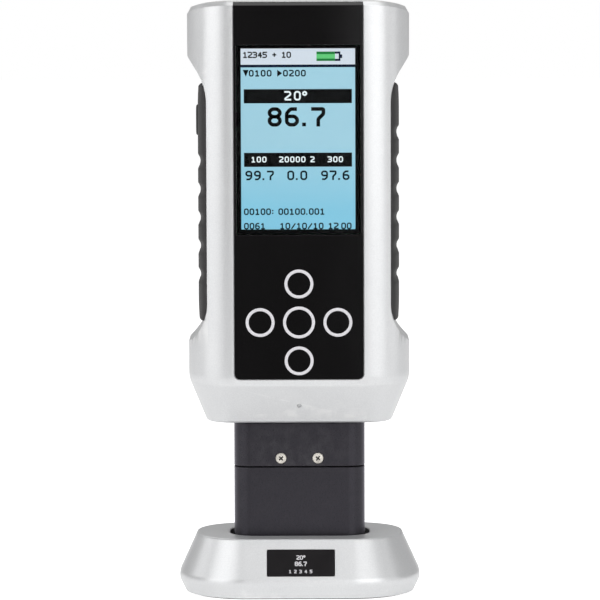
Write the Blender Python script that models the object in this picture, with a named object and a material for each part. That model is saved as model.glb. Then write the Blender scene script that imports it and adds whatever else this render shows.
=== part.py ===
"""Handheld gloss meter standing in its calibration base.

Metres, +Z up. The display faces -Y, and the origin lies on the floor under the
middle of the base. The meter is a two-part housing on a slim measuring head; the
head stands on a black glass tile in the well of the base.
"""
import math

import bmesh
import bpy
from mathutils import Vector

MM = 0.001
GAP = 0.3 * MM                      # air between two pieces that touch

# Base
BASE_SIDE = 17.35 * MM              # from the well to the crease, the widest level, along X
BASE_FACE = 14.0 * MM               # the same along Y
BASE_END_FLAT = 6.6 * MM            # straight part of each end
BASE_HEIGHT = 19.9 * MM
BASE_CREASE_HEIGHT = 5.7 * MM
BASE_CREASE_RADIUS = 2.0 * MM
BASE_FOOT_SETBACK = 2.0 * MM        # foot outline inside the crease
BASE_TOP_SETBACK = 6.3 * MM         # top outline inside the crease
BASE_RIM_RADIUS = 1.0 * MM
BASE_WALL = 2.4 * MM
BASE_PAD_THICKNESS = 1.0 * MM
BASE_PAD_SETBACK = 1.2 * MM
BASE_PLATE_THICKNESS = 2.2 * MM
BASE_BOSS_RADIUS = 2.8 * MM
BASE_BOSS_OUTREACH = 3.7 * MM       # boss axis beyond the well opening, along X
BASE_BOSS_SPREAD = 7.0 * MM         # boss axis from the middle, along Y
BASE_SCREW_RADIUS = 1.1 * MM
BASE_SCREW_HEAD_RADIUS = 2.0 * MM
BASE_SCREW_HEAD = 1.0 * MM
BASE_SCREW_LENGTH = 7.0 * MM
WELL_CLEARANCE = 1.5 * MM           # from the head to the wall of the well
WELL_CORNER_EASE = 2.1 * MM         # corners of the well rounder than those of the head
WELL_WALL = 1.8 * MM
WELL_CHAMFER = 0.3 * MM
TILE_SEAT_THICKNESS = 1.2 * MM
TILE_THICKNESS = 3.0 * MM
TILE_END_SETBACK = 2.0 * MM         # tile inside the outline of the head, at each end
TILE_FACE_SETBACK = 1.0 * MM
TILE_CORNER_RADIUS = 2.0 * MM
LABEL_WIDTH = 22.6 * MM
LABEL_HEIGHT = 9.2 * MM
LABEL_THICKNESS = 0.4 * MM
LABEL_PROUD = 0.2 * MM
LABEL_RISE = 2.33 * MM              # lower edge of the label from the crease, up the slope

# Measuring head
HEAD_DEPTH = 22.0 * MM
HEAD_END_WALL = 3.73 * MM           # beyond the bores, at the seam
HEAD_CORNER_RADIUS = 5.7 * MM
HEAD_EDGE = 0.3 * MM                # broken edges of both blocks
HEAD_UPPER_RISE = 15.2 * MM         # from the seam to the housing
HEAD_SIDE_WALL = 2.6 * MM
HEAD_FACE_WALL = 2.4 * MM
HEAD_ROOF = 3.0 * MM
NECK_SETBACK = 3.0 * MM             # neck inside the outline of the head
NECK_CORNER_RADIUS = 2.0 * MM
CABLE_HOLE_WIDTH = 10.0 * MM
CABLE_HOLE_DEPTH = 6.0 * MM
LUG_WIDTH = 22.0 * MM
LUG_THICKNESS = 3.2 * MM
LUG_HEIGHT = 6.5 * MM
HEAD_SCREW_SPACING = 12.4 * MM
HEAD_SCREW_RISE = 2.9 * MM          # above the seam
HEAD_SCREW_RADIUS = 0.95 * MM
HEAD_SCREW_HEAD_RADIUS = 1.85 * MM
HEAD_SCREW_HEAD = 0.8 * MM
HEAD_SCREW_RECESS = 0.8 * MM
HEAD_SCREW_LENGTH = 5.2 * MM
HEAD_PLATE_SIDE_LAP = 6.0 * MM      # plate beyond the neck
HEAD_PLATE_FACE_LAP = 2.0 * MM
HEAD_PLATE_THICKNESS = 2.0 * MM
PLATE_SCREW_SPACING = 28.0 * MM
PLATE_SCREW_RADIUS = 1.2 * MM
PLATE_SCREW_HEAD_RADIUS = 2.3 * MM
PLATE_SCREW_HEAD = 1.5 * MM
PLATE_SCREW_GRIP = 3.4 * MM         # length of the screw below the plate

# Optics: two bores that meet on the tile, each tilted from the vertical
OPTIC_ANGLE = math.radians(20.0)
LENS_BORE_RADIUS = 4.2 * MM
LENS_SEAT = 0.6 * MM                # width of the shoulder under the lens
BOARD_SEAT = 1.1 * MM               # width of the shoulder under the board
LENS_SHOULDER = 16.0 * MM           # from the measured spot, along the bore
LENS_TO_BOARD = 18.5 * MM           # between the two shoulders
BOARD_DROP = 2.43 * MM              # from the seam down to the board's shoulder
LENS_EDGE = 1.2 * MM
LENS_BULGE = 0.9 * MM
SPACER_WALL = 0.8 * MM
SOURCE_SPACER = 5.5 * MM
RECEIVER_SPACER = 9.5 * MM
STOP_THICKNESS = 0.8 * MM
SOURCE_PINHOLE = 0.9 * MM
RECEIVER_SLIT_RADIUS = 1.6 * MM
OPTIC_BOARD_THICKNESS = 1.6 * MM
LED_RADIUS = 2.4 * MM
LED_LENGTH = 5.8 * MM
LED_FLANGE_RADIUS = 2.9 * MM
LED_FLANGE = 1.0 * MM
ARRAY_WIDTH = 6.0 * MM
ARRAY_DEPTH = 4.4 * MM
ARRAY_HEIGHT = 2.0 * MM

# Housing
BODY_HEIGHT = 140.8 * MM
FRONT_FLAT = 44.6 * MM              # width of the flat part of the face
SIDE_FLAT = 16.0 * MM               # depth of the flat part of each side
TOP_DROP = 3.2 * MM                 # fall of the top towards each side
TOP_CHAMFER = 1.3 * MM
CHIN_HEIGHT = 15.1 * MM
CHIN_SIDE_LEDGE = 9.0 * MM          # underside of the housing beyond the head
CHIN_FACE_LEDGE = 3.0 * MM
CHIN_SIDE_FLAT = 9.0 * MM
CHIN_SIDE_RADIUS = 10.0 * MM
CHIN_FACE_RADIUS = 3.0 * MM
CHIN_EDGE_RADIUS = 1.6 * MM
CHIN_LIP = 2.2 * MM                 # rounded band inside the outline of the underside
WAIST_SETBACK = 6.4 * MM            # waist inside the full width, on each side
SHOULDER_DROP = 18.0 * MM           # from the top to the start of the taper
SHOULDER_TAPER = math.radians(33.4)
SHOULDER_RADIUS = 1.6 * MM
SHOULDER_SWEEP_RADIUS = 12.6 * MM
HIP_RISE = 27.3 * MM                # from the underside to the corner of the flare
HIP_FLARE = math.radians(50.5)
HIP_RADIUS = 1.2 * MM
HIP_SWEEP_RADIUS = 13.4 * MM
WALL = 2.4 * MM
BED_THICKNESS = 1.5 * MM            # floor of the pocket that carries the front panel
SPLIT_DEPTH = 4.0 * MM              # parting plane behind the middle

# Front panel, display and keys
PANEL_MARGIN = 0.9 * MM             # flat of the face beside the panel
PANEL_THICKNESS = 1.2 * MM
PANEL_RISE = 0.5 * MM               # lower edge above the chin crease
PANEL_CORNER_RADIUS = 1.8 * MM
PANEL_RIM_CHAMFER = 0.5 * MM
DISPLAY_MARGIN = 0.8 * MM           # panel beside the display
DISPLAY_DROP = 14.3 * MM            # below the top
DISPLAY_KEY_SPACE = 10.3 * MM       # between the display and the key board
DISPLAY_CORNER_RADIUS = 0.6 * MM
LCD_THICKNESS = 4.3 * MM
KEY_PITCH = 12.8 * MM
KEY_DIAMETER = 10.0 * MM
KEY_BOARD_RISE = 0.2 * MM           # key board's opening above the panel's lower edge
TOUCH_BOARD_MARGIN = 1.0 * MM
TOUCH_BOARD_THICKNESS = 1.6 * MM
STATUS_RISE = 6.3 * MM              # light pipe above the underside
STATUS_RADIUS = 0.75 * MM
STATUS_LENGTH = 4.0 * MM
STATUS_FLANGE_RADIUS = 1.7 * MM
STATUS_FLANGE = 0.8 * MM

# Grips and side button
GRIP_OUTREACH = 3.0 * MM            # beyond the waist
GRIP_END = 1.5 * MM                 # thickness at the blunt ends
RIPPLE_PITCH = 9.48 * MM
RIPPLE_RISE = 50.0 * MM             # lowest ripple above the underside
RIPPLE_DEPTH = 1.0 * MM
RIPPLE_UPPER = 2.2 * MM
RIPPLE_LOWER = 3.0 * MM
RIPPLE_TOP_SPACE = 6.0 * MM         # plain rubber between the highest ripple and the shoulder
BUTTON_DROP = 39.7 * MM             # button's middle below the top
BUTTON_HEIGHT = 10.3 * MM
BUTTON_DEPTH = 9.0 * MM
BUTTON_CORNER_RADIUS = 3.2 * MM
BUTTON_PROUD = 0.7 * MM             # beyond the grip
BUTTON_CAP = 2.4 * MM
BUTTON_EDGE = 0.5 * MM
BUTTON_CLEARANCE = 0.35 * MM
BUTTON_TRAVEL = 0.8 * MM
STEM_HEIGHT = 5.0 * MM
STEM_DEPTH = 3.0 * MM
STEM_FLANGE_HEIGHT = 8.4 * MM
STEM_FLANGE_DEPTH = 4.6 * MM
STEM_FLANGE = 1.0 * MM
STEM_REACH = 3.6 * MM               # stem beyond the inner face of the wall
SWITCH_SIZE = 5.0 * MM
SWITCH_WIDTH = 3.6 * MM
PLUNGER_RADIUS = 1.2 * MM
PLUNGER_LENGTH = 0.6 * MM

# Electronics and fasteners inside the housing
BOARD_FRONT = 2.8 * MM              # front face of the main board, behind the middle
BOARD_THICKNESS = 1.6 * MM
BOARD_SIDE_CLEARANCE = 0.8 * MM
BOARD_FOOT = 13.8 * MM              # lower edge above the underside
BOARD_TOP_DROP = 7.0 * MM
BOSS_RADIUS = 3.4 * MM
BOSS_CLEARANCE = 1.8 * MM           # between the key board's opening and the bosses
CASE_SCREW_INSET = 3.4 * MM         # screw axis from the board's edge
CASE_SCREW_LOW = 20.8 * MM          # lower screws above the underside
CASE_SCREW_HIGH = 10.6 * MM         # upper screws below the top
CASE_SCREW_RADIUS = 1.3 * MM
CASE_SCREW_HEAD_RADIUS = 2.4 * MM
CASE_SCREW_HEAD = 1.8 * MM
CASE_SCREW_RECESS = 3.0 * MM
CASE_SCREW_BITE = 7.0 * MM          # length in the front boss
BATTERY_WIDTH = 38.0 * MM
BATTERY_HEIGHT = 60.0 * MM
BATTERY_THICKNESS = 13.8 * MM
BATTERY_SPACE = 2.1 * MM            # between the main board and the battery
BATTERY_RISE = 44.0 * MM            # above the underside
BATTERY_CORNER_RADIUS = 3.0 * MM
CRADLE_WALL = 1.4 * MM
CRADLE_DEPTH = 8.0 * MM
USB_WIDTH = 7.8 * MM
USB_THICKNESS = 3.0 * MM
USB_LENGTH = 11.6 * MM
USB_RECESS = 0.8 * MM               # mouth below the top
USB_SHELL = 0.5 * MM
USB_MOUTH_DEPTH = 5.5 * MM
USB_TONGUE = 0.8 * MM

# Facets
ARC_STEPS = 5
FILLET_STEPS = 3
SECTION_STEPS = 5
ROUND_SEGMENTS = 18
SMALL_SEGMENTS = 12
BURY = 1.0 * MM                     # how far a cutter runs past a face
SMOOTH_ANGLE = math.radians(35.0)
LEAST_RADIUS = 0.3 * MM

# Levels and faces worked out from the sizes above
SHELL_FOOT = BASE_PAD_THICKNESS + GAP
PLATE_TOP = SHELL_FOOT + BASE_PLATE_THICKNESS
TILE_TOP = PLATE_TOP + GAP + TILE_SEAT_THICKNESS + GAP + TILE_THICKNESS
HEAD_FOOT = TILE_TOP + GAP
APERTURE_RADIUS = LENS_BORE_RADIUS - LENS_SEAT
BOARD_BORE_RADIUS = LENS_BORE_RADIUS + BOARD_SEAT
BOARD_SHOULDER = LENS_SHOULDER + LENS_TO_BOARD
SEAM_RISE = (BOARD_SHOULDER + BOARD_DROP) * math.cos(OPTIC_ANGLE)
SEAM_HEIGHT = TILE_TOP + SEAM_RISE
BORE_REACH = SEAM_RISE * math.tan(OPTIC_ANGLE) + BOARD_BORE_RADIUS / math.cos(OPTIC_ANGLE)
HEAD_WIDTH = 2 * (BORE_REACH + HEAD_END_WALL)
TILE_WIDTH = HEAD_WIDTH - 2 * TILE_END_SETBACK
TILE_DEPTH = HEAD_DEPTH - 2 * TILE_FACE_SETBACK
NECK_WIDTH = HEAD_WIDTH - 2 * NECK_SETBACK
NECK_DEPTH = HEAD_DEPTH - 2 * NECK_SETBACK
HEAD_PLATE_WIDTH = NECK_WIDTH + 2 * HEAD_PLATE_SIDE_LAP
HEAD_PLATE_DEPTH = NECK_DEPTH + 2 * HEAD_PLATE_FACE_LAP
BASE_WIDTH = HEAD_WIDTH + 2 * (WELL_CLEARANCE + BASE_SIDE)
BASE_DEPTH = HEAD_DEPTH + 2 * (WELL_CLEARANCE + BASE_FACE)
BASE_CORNER_RADIUS = (BASE_DEPTH - BASE_END_FLAT) / 2
BASE_SLOPE = math.hypot(BASE_TOP_SETBACK, BASE_HEIGHT - BASE_CREASE_HEIGHT)
LABEL_DROP = BASE_SLOPE - LABEL_RISE - LABEL_HEIGHT / 2
LOWER_BLOCK_TOP = SEAM_HEIGHT - GAP / 2
UPPER_BLOCK_FOOT = SEAM_HEIGHT + GAP / 2
BODY_BOTTOM = SEAM_HEIGHT + HEAD_UPPER_RISE
UPPER_BLOCK_TOP = BODY_BOTTOM - GAP
BODY_TOP = BODY_BOTTOM + BODY_HEIGHT
KEY_REACH = KEY_PITCH + KEY_DIAMETER / 2 + TOUCH_BOARD_MARGIN
CASE_SCREW_X = KEY_REACH + BOSS_CLEARANCE + BOSS_RADIUS
BOARD_HALF = CASE_SCREW_X + CASE_SCREW_INSET
WAIST_HALF = BOARD_HALF + BOARD_SIDE_CLEARANCE + WALL
BODY_HALF = WAIST_HALF + WAIST_SETBACK
BODY_WIDTH = 2 * BODY_HALF
CHIN_WIDTH = HEAD_WIDTH + 2 * CHIN_SIDE_LEDGE
CHIN_DEPTH = HEAD_DEPTH + 2 * CHIN_FACE_LEDGE
BOARD_BACK = BOARD_FRONT + BOARD_THICKNESS
FACE = BOARD_BACK + BATTERY_SPACE + BATTERY_THICKNESS + GAP + WALL
BODY_DEPTH = 2 * FACE
PANEL_WIDTH = FRONT_FLAT - 2 * PANEL_MARGIN
DISPLAY_WIDTH = PANEL_WIDTH - 2 * DISPLAY_MARGIN
FACE_WALL = PANEL_THICKNESS + GAP + BED_THICKNESS
NECK_TOP = BODY_BOTTOM + WALL
CHIN_CREASE = BODY_BOTTOM + CHIN_HEIGHT
PANEL_FOOT = CHIN_CREASE + PANEL_RISE
PANEL_BACK = PANEL_THICKNESS - FACE
BEHIND_PANEL = PANEL_BACK + GAP
KEY_CENTRE = PANEL_FOOT + KEY_BOARD_RISE + KEY_REACH
DISPLAY_TOP = BODY_TOP - DISPLAY_DROP
DISPLAY_FOOT = KEY_CENTRE + KEY_REACH + DISPLAY_KEY_SPACE
BUTTON_CENTRE = BODY_TOP - BUTTON_DROP
WAIST_TOP = BODY_TOP - SHOULDER_DROP - WAIST_SETBACK / math.tan(SHOULDER_TAPER)
WAIST_FOOT = BODY_BOTTOM + HIP_RISE + WAIST_SETBACK / math.tan(HIP_FLARE)
RIPPLE_BASE = BODY_BOTTOM + RIPPLE_RISE
CASE_SCREW_LEVELS = (BODY_BOTTOM + CASE_SCREW_LOW, BODY_TOP - CASE_SCREW_HIGH)
GRIP_FACE = WAIST_HALF + GRIP_OUTREACH


def clear_scene():
    """Remove every object that the scene starts with."""
    for old in list(bpy.data.objects):
        bpy.data.objects.remove(old, do_unlink=True)


def material(name, colour, roughness, metallic=0.0):
    """Principled material of one colour."""
    made = bpy.data.materials.new(name)
    made.use_nodes = True
    shader = made.node_tree.nodes["Principled BSDF"]
    shader.inputs["Base Color"].default_value = (*colour, 1.0)
    shader.inputs["Roughness"].default_value = roughness
    shader.inputs["Metallic"].default_value = metallic
    made.diffuse_color = (*colour, 1.0)
    return made


def finish_mesh(name, shape, finish):
    """Turn a bmesh into an object, faces out and round faces smooth."""
    bmesh.ops.recalc_face_normals(shape, faces=shape.faces[:])
    mesh = bpy.data.meshes.new(name)
    shape.to_mesh(mesh)
    shape.free()
    mesh.shade_smooth()
    mesh.set_sharp_from_angle(angle=SMOOTH_ANGLE)
    made = bpy.data.objects.new(name, mesh)
    bpy.context.scene.collection.objects.link(made)
    if finish is not None:
        mesh.materials.append(finish)
    return made


def loft(name, rings, finish=None):
    """Closed solid through rings that have the same number of points."""
    shape = bmesh.new()
    rows = [[shape.verts.new(point) for point in ring] for ring in rings]
    for low, high in zip(rows, rows[1:]):
        for index in range(len(low)):
            after = (index + 1) % len(low)
            shape.faces.new((low[index], low[after], high[after], high[index]))
    shape.faces.new(rows[0])
    shape.faces.new(rows[-1])
    return finish_mesh(name, shape, finish)


def stack(name, levels, finish=None):
    """Solid through plan outlines, each given with its height."""
    rings = [[(x, y, height) for x, y in outline] for outline, height in levels]
    return loft(name, rings, finish)


def box(name, low, high, finish=None):
    """Box between two corners."""
    outline = [(low[0], low[1]), (high[0], low[1]), (high[0], high[1]), (low[0], high[1])]
    return stack(name, [(outline, low[2]), (outline, high[2])], finish)


def turned(name, profile, segments, finish=None, closed=False):
    """Solid turned about Z from a profile of (radius, height); closed makes a ring."""
    shape = bmesh.new()
    rows = []
    for radius, height in profile:
        if radius == 0.0:
            rows.append([shape.verts.new((0.0, 0.0, height))])
            continue
        row = []
        for index in range(segments):
            angle = 2.0 * math.pi * index / segments
            row.append(shape.verts.new((radius * math.cos(angle), radius * math.sin(angle), height)))
        rows.append(row)
    pairs = list(zip(rows, rows[1:]))
    if closed:
        pairs.append((rows[-1], rows[0]))
    for low, high in pairs:
        for index in range(segments):
            after = (index + 1) % segments
            corners = [low[index % len(low)], low[after % len(low)]]
            corners += [high[after % len(high)], high[index % len(high)]]
            shape.faces.new(list(dict.fromkeys(corners)))
    return finish_mesh(name, shape, finish)


def rod(name, radius, low, high, segments=SMALL_SEGMENTS, finish=None):
    """Plain round bar along Z."""
    return turned(name, [(0.0, low), (radius, low), (radius, high), (0.0, high)], segments, finish)


def ring(name, outer, inner, low, high, segments=ROUND_SEGMENTS, finish=None):
    """Plain tube along Z."""
    profile = [(inner, low), (outer, low), (outer, high), (inner, high)]
    return turned(name, profile, segments, finish, closed=True)


def rounded_rectangle(width, depth, radius, steps=ARC_STEPS):
    """Plan outline with round corners, counter-clockwise."""
    points = []
    corners = ((1, 1, 0.0), (-1, 1, 90.0), (-1, -1, 180.0), (1, -1, 270.0))
    for side_x, side_y, start in corners:
        centre_x = side_x * (width / 2 - radius)
        centre_y = side_y * (depth / 2 - radius)
        for step in range(steps + 1):
            angle = math.radians(start + 90.0 * step / steps)
            points.append((centre_x + radius * math.cos(angle), centre_y + radius * math.sin(angle)))
    return points


def filleted(corners, steps=FILLET_STEPS):
    """Path through (x, z, radius) corners, each rounded by its own radius."""
    path = []
    for index, (x, z, radius) in enumerate(corners):
        here = Vector((x, z))
        if index in (0, len(corners) - 1):
            path.append(here)
            continue
        before = (Vector(corners[index - 1][:2]) - here).normalized()
        after = (Vector(corners[index + 1][:2]) - here).normalized()
        half_turn = (math.pi - before.angle(after)) / 2
        start = here + before * radius * math.tan(half_turn)
        centre = here + (before + after).normalized() * radius / math.cos(half_turn)
        spoke = start - centre
        sign = 1.0 if before.x * after.y - before.y * after.x < 0.0 else -1.0
        for step in range(steps + 1):
            angle = sign * 2.0 * half_turn * step / steps
            turn_x = spoke.x * math.cos(angle) - spoke.y * math.sin(angle)
            turn_z = spoke.x * math.sin(angle) + spoke.y * math.cos(angle)
            path.append(centre + Vector((turn_x, turn_z)))
    return path


def offset_corners(corners, inset):
    """Corners of a downward path moved inwards; hollow corners gain radius."""
    moved = []
    points = [Vector(corner[:2]) for corner in corners]
    for index, point in enumerate(points):
        directions = []
        if index > 0:
            directions.append((point - points[index - 1]).normalized())
        if index < len(points) - 1:
            directions.append((points[index + 1] - point).normalized())
        normals = [Vector((direction.y, -direction.x)) for direction in directions]
        middle = sum(normals, Vector((0.0, 0.0))).normalized()
        shift = middle * inset / middle.dot(normals[0])
        radius = corners[index][2]
        if len(directions) == 2 and radius > 0.0:
            turn = directions[0].x * directions[1].y - directions[0].y * directions[1].x
            radius = radius + inset if turn > 0.0 else max(radius - inset, LEAST_RADIUS)
        moved.append((point.x + shift.x, point.y + shift.y, radius))
    return moved


def use_boolean(target, tool, operation):
    """Combine target with tool, and keep tool as a hidden helper."""
    tool.hide_render = True
    tool.display_type = "WIRE"
    step = target.modifiers.new(tool.name, "BOOLEAN")
    step.operation = operation
    step.object = tool
    step.solver = "EXACT"


def cut(target, *tools):
    """Cut each tool out of target."""
    for tool in tools:
        use_boolean(target, tool, "DIFFERENCE")


def add(target, *tools):
    """Make each tool part of target."""
    for tool in tools:
        use_boolean(target, tool, "UNION")


# Base

def base_outline(radius):
    """Plan of the base at a level whose corner radius is given."""
    setback = BASE_CORNER_RADIUS - radius
    return rounded_rectangle(BASE_WIDTH - 2 * setback, BASE_DEPTH - 2 * setback, radius, ARC_STEPS + 2)


def base_corners():
    """Corner radius against height, from the rim down to the foot."""
    top = BASE_CORNER_RADIUS - BASE_TOP_SETBACK
    return [
        (top - 2 * BASE_RIM_RADIUS, BASE_HEIGHT, 0.0),
        (top, BASE_HEIGHT, BASE_RIM_RADIUS),
        (BASE_CORNER_RADIUS, BASE_CREASE_HEIGHT, BASE_CREASE_RADIUS),
        (BASE_CORNER_RADIUS - BASE_FOOT_SETBACK, SHELL_FOOT, 0.0),
    ]


def well_outline(margin):
    """Plan of the well, margin outside the head."""
    width = HEAD_WIDTH + 2 * margin
    depth = HEAD_DEPTH + 2 * margin
    return rounded_rectangle(width, depth, HEAD_CORNER_RADIUS + WELL_CORNER_EASE + margin)


def base_boss_places():
    """Middles of the four bosses of the base."""
    reach = HEAD_WIDTH / 2 + WELL_CLEARANCE + BASE_BOSS_OUTREACH
    return [(side * reach, end * BASE_BOSS_SPREAD) for end in (-1, 1) for side in (-1, 1)]


def make_base_shell(finish):
    """Moulded stand: sloping walls, a well for the head, bosses for its plate."""
    levels = [(base_outline(radius), height) for radius, height in filleted(base_corners())]
    shell = stack("base_shell", levels, finish)

    plate_radius = BASE_CORNER_RADIUS - BASE_FOOT_SETBACK - BASE_WALL
    well_foot = PLATE_TOP + GAP
    crease_radius = BASE_CORNER_RADIUS - BASE_WALL
    slope = BASE_TOP_SETBACK / (BASE_HEIGHT - BASE_CREASE_HEIGHT)
    roof = BASE_HEIGHT - BASE_WALL
    roof_radius = crease_radius - slope * (roof - BASE_CREASE_HEIGHT)
    hollow = stack("cut_base_hollow", [
        (base_outline(plate_radius), SHELL_FOOT - BURY),
        (base_outline(plate_radius), well_foot),
        (base_outline(crease_radius), BASE_CREASE_HEIGHT),
        (base_outline(roof_radius), roof),
    ])
    collar_outline = well_outline(WELL_CLEARANCE + WELL_WALL)
    collar = stack("keep_well_collar", [(collar_outline, well_foot), (collar_outline, BASE_HEIGHT + BURY)])
    cut(hollow, collar)
    for index, (x, y) in enumerate(base_boss_places()):
        boss = rod(f"keep_base_boss_{index + 1}", BASE_BOSS_RADIUS, well_foot, BASE_HEIGHT + BURY)
        boss.location = (x, y, 0.0)
        cut(hollow, boss)
    cut(shell, hollow)

    opening = well_outline(WELL_CLEARANCE)
    flared = well_outline(WELL_CLEARANCE + WELL_CHAMFER + BURY)
    well = stack("cut_well", [
        (opening, PLATE_TOP - BURY),
        (opening, BASE_HEIGHT - WELL_CHAMFER),
        (flared, BASE_HEIGHT + BURY),
    ])
    cut(shell, well)
    for index, (x, y) in enumerate(base_boss_places()):
        pilot = rod(f"cut_base_pilot_{index + 1}", BASE_SCREW_RADIUS + GAP,
                    PLATE_TOP, SHELL_FOOT + BASE_SCREW_HEAD + BASE_SCREW_LENGTH + GAP)
        pilot.location = (x, y, 0.0)
        cut(shell, pilot)
    cut(shell, label_solid("cut_label", GAP, None))
    return shell


def label_solid(name, margin, finish):
    """Flat plate on the front slope; margin makes the pocket that it lies in."""
    tilt = math.atan2(BASE_TOP_SETBACK, BASE_HEIGHT - BASE_CREASE_HEIGHT)
    half_width = LABEL_WIDTH / 2 + margin
    half_height = LABEL_HEIGHT / 2 + margin
    back = LABEL_PROUD - LABEL_THICKNESS - margin
    face = LABEL_PROUD + BURY if margin > 0.0 else LABEL_PROUD
    plate = box(name, (-half_width, back, -half_height), (half_width, face, half_height), finish)
    front = BASE_DEPTH / 2 - BASE_TOP_SETBACK
    plate.location = (0.0, -front - LABEL_DROP * math.sin(tilt), BASE_HEIGHT - LABEL_DROP * math.cos(tilt))
    plate.rotation_euler = (tilt, 0.0, math.pi)
    return plate


def make_base_plate(finish):
    """Flat closing plate with four countersunk screw holes."""
    radius = BASE_CORNER_RADIUS - BASE_FOOT_SETBACK - BASE_WALL - GAP
    outline = base_outline(radius)
    plate = stack("base_plate", [(outline, SHELL_FOOT), (outline, PLATE_TOP)], finish)
    for index, (x, y) in enumerate(base_boss_places()):
        head_top = SHELL_FOOT + BASE_SCREW_HEAD + GAP
        hole = turned(f"cut_base_plate_{index + 1}", [
            (0.0, SHELL_FOOT - BURY),
            (BASE_SCREW_HEAD_RADIUS + GAP, SHELL_FOOT - BURY),
            (BASE_SCREW_HEAD_RADIUS + GAP, head_top),
            (BASE_SCREW_RADIUS + GAP, head_top),
            (BASE_SCREW_RADIUS + GAP, PLATE_TOP + BURY),
            (0.0, PLATE_TOP + BURY),
        ], SMALL_SEGMENTS)
        hole.location = (x, y, 0.0)
        cut(plate, hole)
    return plate


def make_base_small_parts(steel, rubber, glass, foam, label_finish):
    """Foot pad, plate screws, tile and the plate that bears its value."""
    radius = BASE_CORNER_RADIUS - BASE_FOOT_SETBACK - BASE_PAD_SETBACK
    stack("base_pad", [(base_outline(radius), 0.0), (base_outline(radius), BASE_PAD_THICKNESS)], rubber)
    head_top = SHELL_FOOT + BASE_SCREW_HEAD
    for index, (x, y) in enumerate(base_boss_places()):
        screw = turned(f"base_screw_{index + 1}", [
            (0.0, SHELL_FOOT),
            (BASE_SCREW_HEAD_RADIUS, SHELL_FOOT),
            (BASE_SCREW_HEAD_RADIUS, head_top),
            (BASE_SCREW_RADIUS, head_top),
            (BASE_SCREW_RADIUS, head_top + BASE_SCREW_LENGTH),
            (0.0, head_top + BASE_SCREW_LENGTH),
        ], SMALL_SEGMENTS, steel)
        screw.location = (x, y, 0.0)
    seat_foot = PLATE_TOP + GAP
    seat = rounded_rectangle(TILE_WIDTH, TILE_DEPTH, TILE_CORNER_RADIUS, FILLET_STEPS)
    stack("tile_seat", [(seat, seat_foot), (seat, seat_foot + TILE_SEAT_THICKNESS)], foam)
    stack("calibration_tile", [(seat, TILE_TOP - TILE_THICKNESS), (seat, TILE_TOP)], glass)
    label_solid("base_label", 0.0, label_finish)


# Measuring head

def head_outline(inset=0.0):
    """Plan of the head, moved inwards by inset."""
    return rounded_rectangle(HEAD_WIDTH - 2 * inset, HEAD_DEPTH - 2 * inset, HEAD_CORNER_RADIUS - inset)


def head_block(name, foot, top, finish):
    """Block of the head with broken edges at both ends."""
    return stack(name, [
        (head_outline(HEAD_EDGE), foot),
        (head_outline(), foot + HEAD_EDGE),
        (head_outline(), top - HEAD_EDGE),
        (head_outline(HEAD_EDGE), top),
    ], finish)


def head_screw_places():
    """Screw axes as (side, face): side -1 or 1 along X, face -1 front or 1 rear."""
    return [(side, face) for face in (-1, 1) for side in (-1, 1)]


def head_screw_shape(name, margin, finish=None):
    """Pan-head screw along Z with its tip at the low end; margin makes its hole."""
    seat = HEAD_SCREW_LENGTH
    crown = seat + HEAD_SCREW_HEAD
    if margin > 0.0:
        profile = [(0.0, -margin), (HEAD_SCREW_RADIUS + margin, -margin),
                   (HEAD_SCREW_RADIUS + margin, seat - margin),
                   (HEAD_SCREW_HEAD_RADIUS + margin, seat - margin),
                   (HEAD_SCREW_HEAD_RADIUS + margin, crown + BURY), (0.0, crown + BURY)]
    else:
        profile = [(0.0, 0.0), (HEAD_SCREW_RADIUS, 0.0), (HEAD_SCREW_RADIUS, seat),
                   (HEAD_SCREW_HEAD_RADIUS, seat),
                   (HEAD_SCREW_HEAD_RADIUS, crown - HEAD_EDGE),
                   (HEAD_SCREW_HEAD_RADIUS - HEAD_EDGE, crown), (0.0, crown)]
    return turned(name, profile, ROUND_SEGMENTS, finish)


def place_head_screw(screw, side, face):
    """Point a screw out of the front or rear face of the upper block."""
    seat = HEAD_DEPTH / 2 - HEAD_SCREW_RECESS + GAP
    screw.location = (side * HEAD_SCREW_SPACING / 2, face * (seat - HEAD_SCREW_LENGTH),
                      SEAM_HEIGHT + HEAD_SCREW_RISE)
    screw.rotation_euler = (-face * math.pi / 2, 0.0, 0.0)


def optic_place(piece, side):
    """Stand a piece on the measured spot, tilted along one of the two bores."""
    piece.location = (0.0, 0.0, TILE_TOP)
    piece.rotation_euler = (0.0, side * OPTIC_ANGLE, 0.0)


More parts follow.
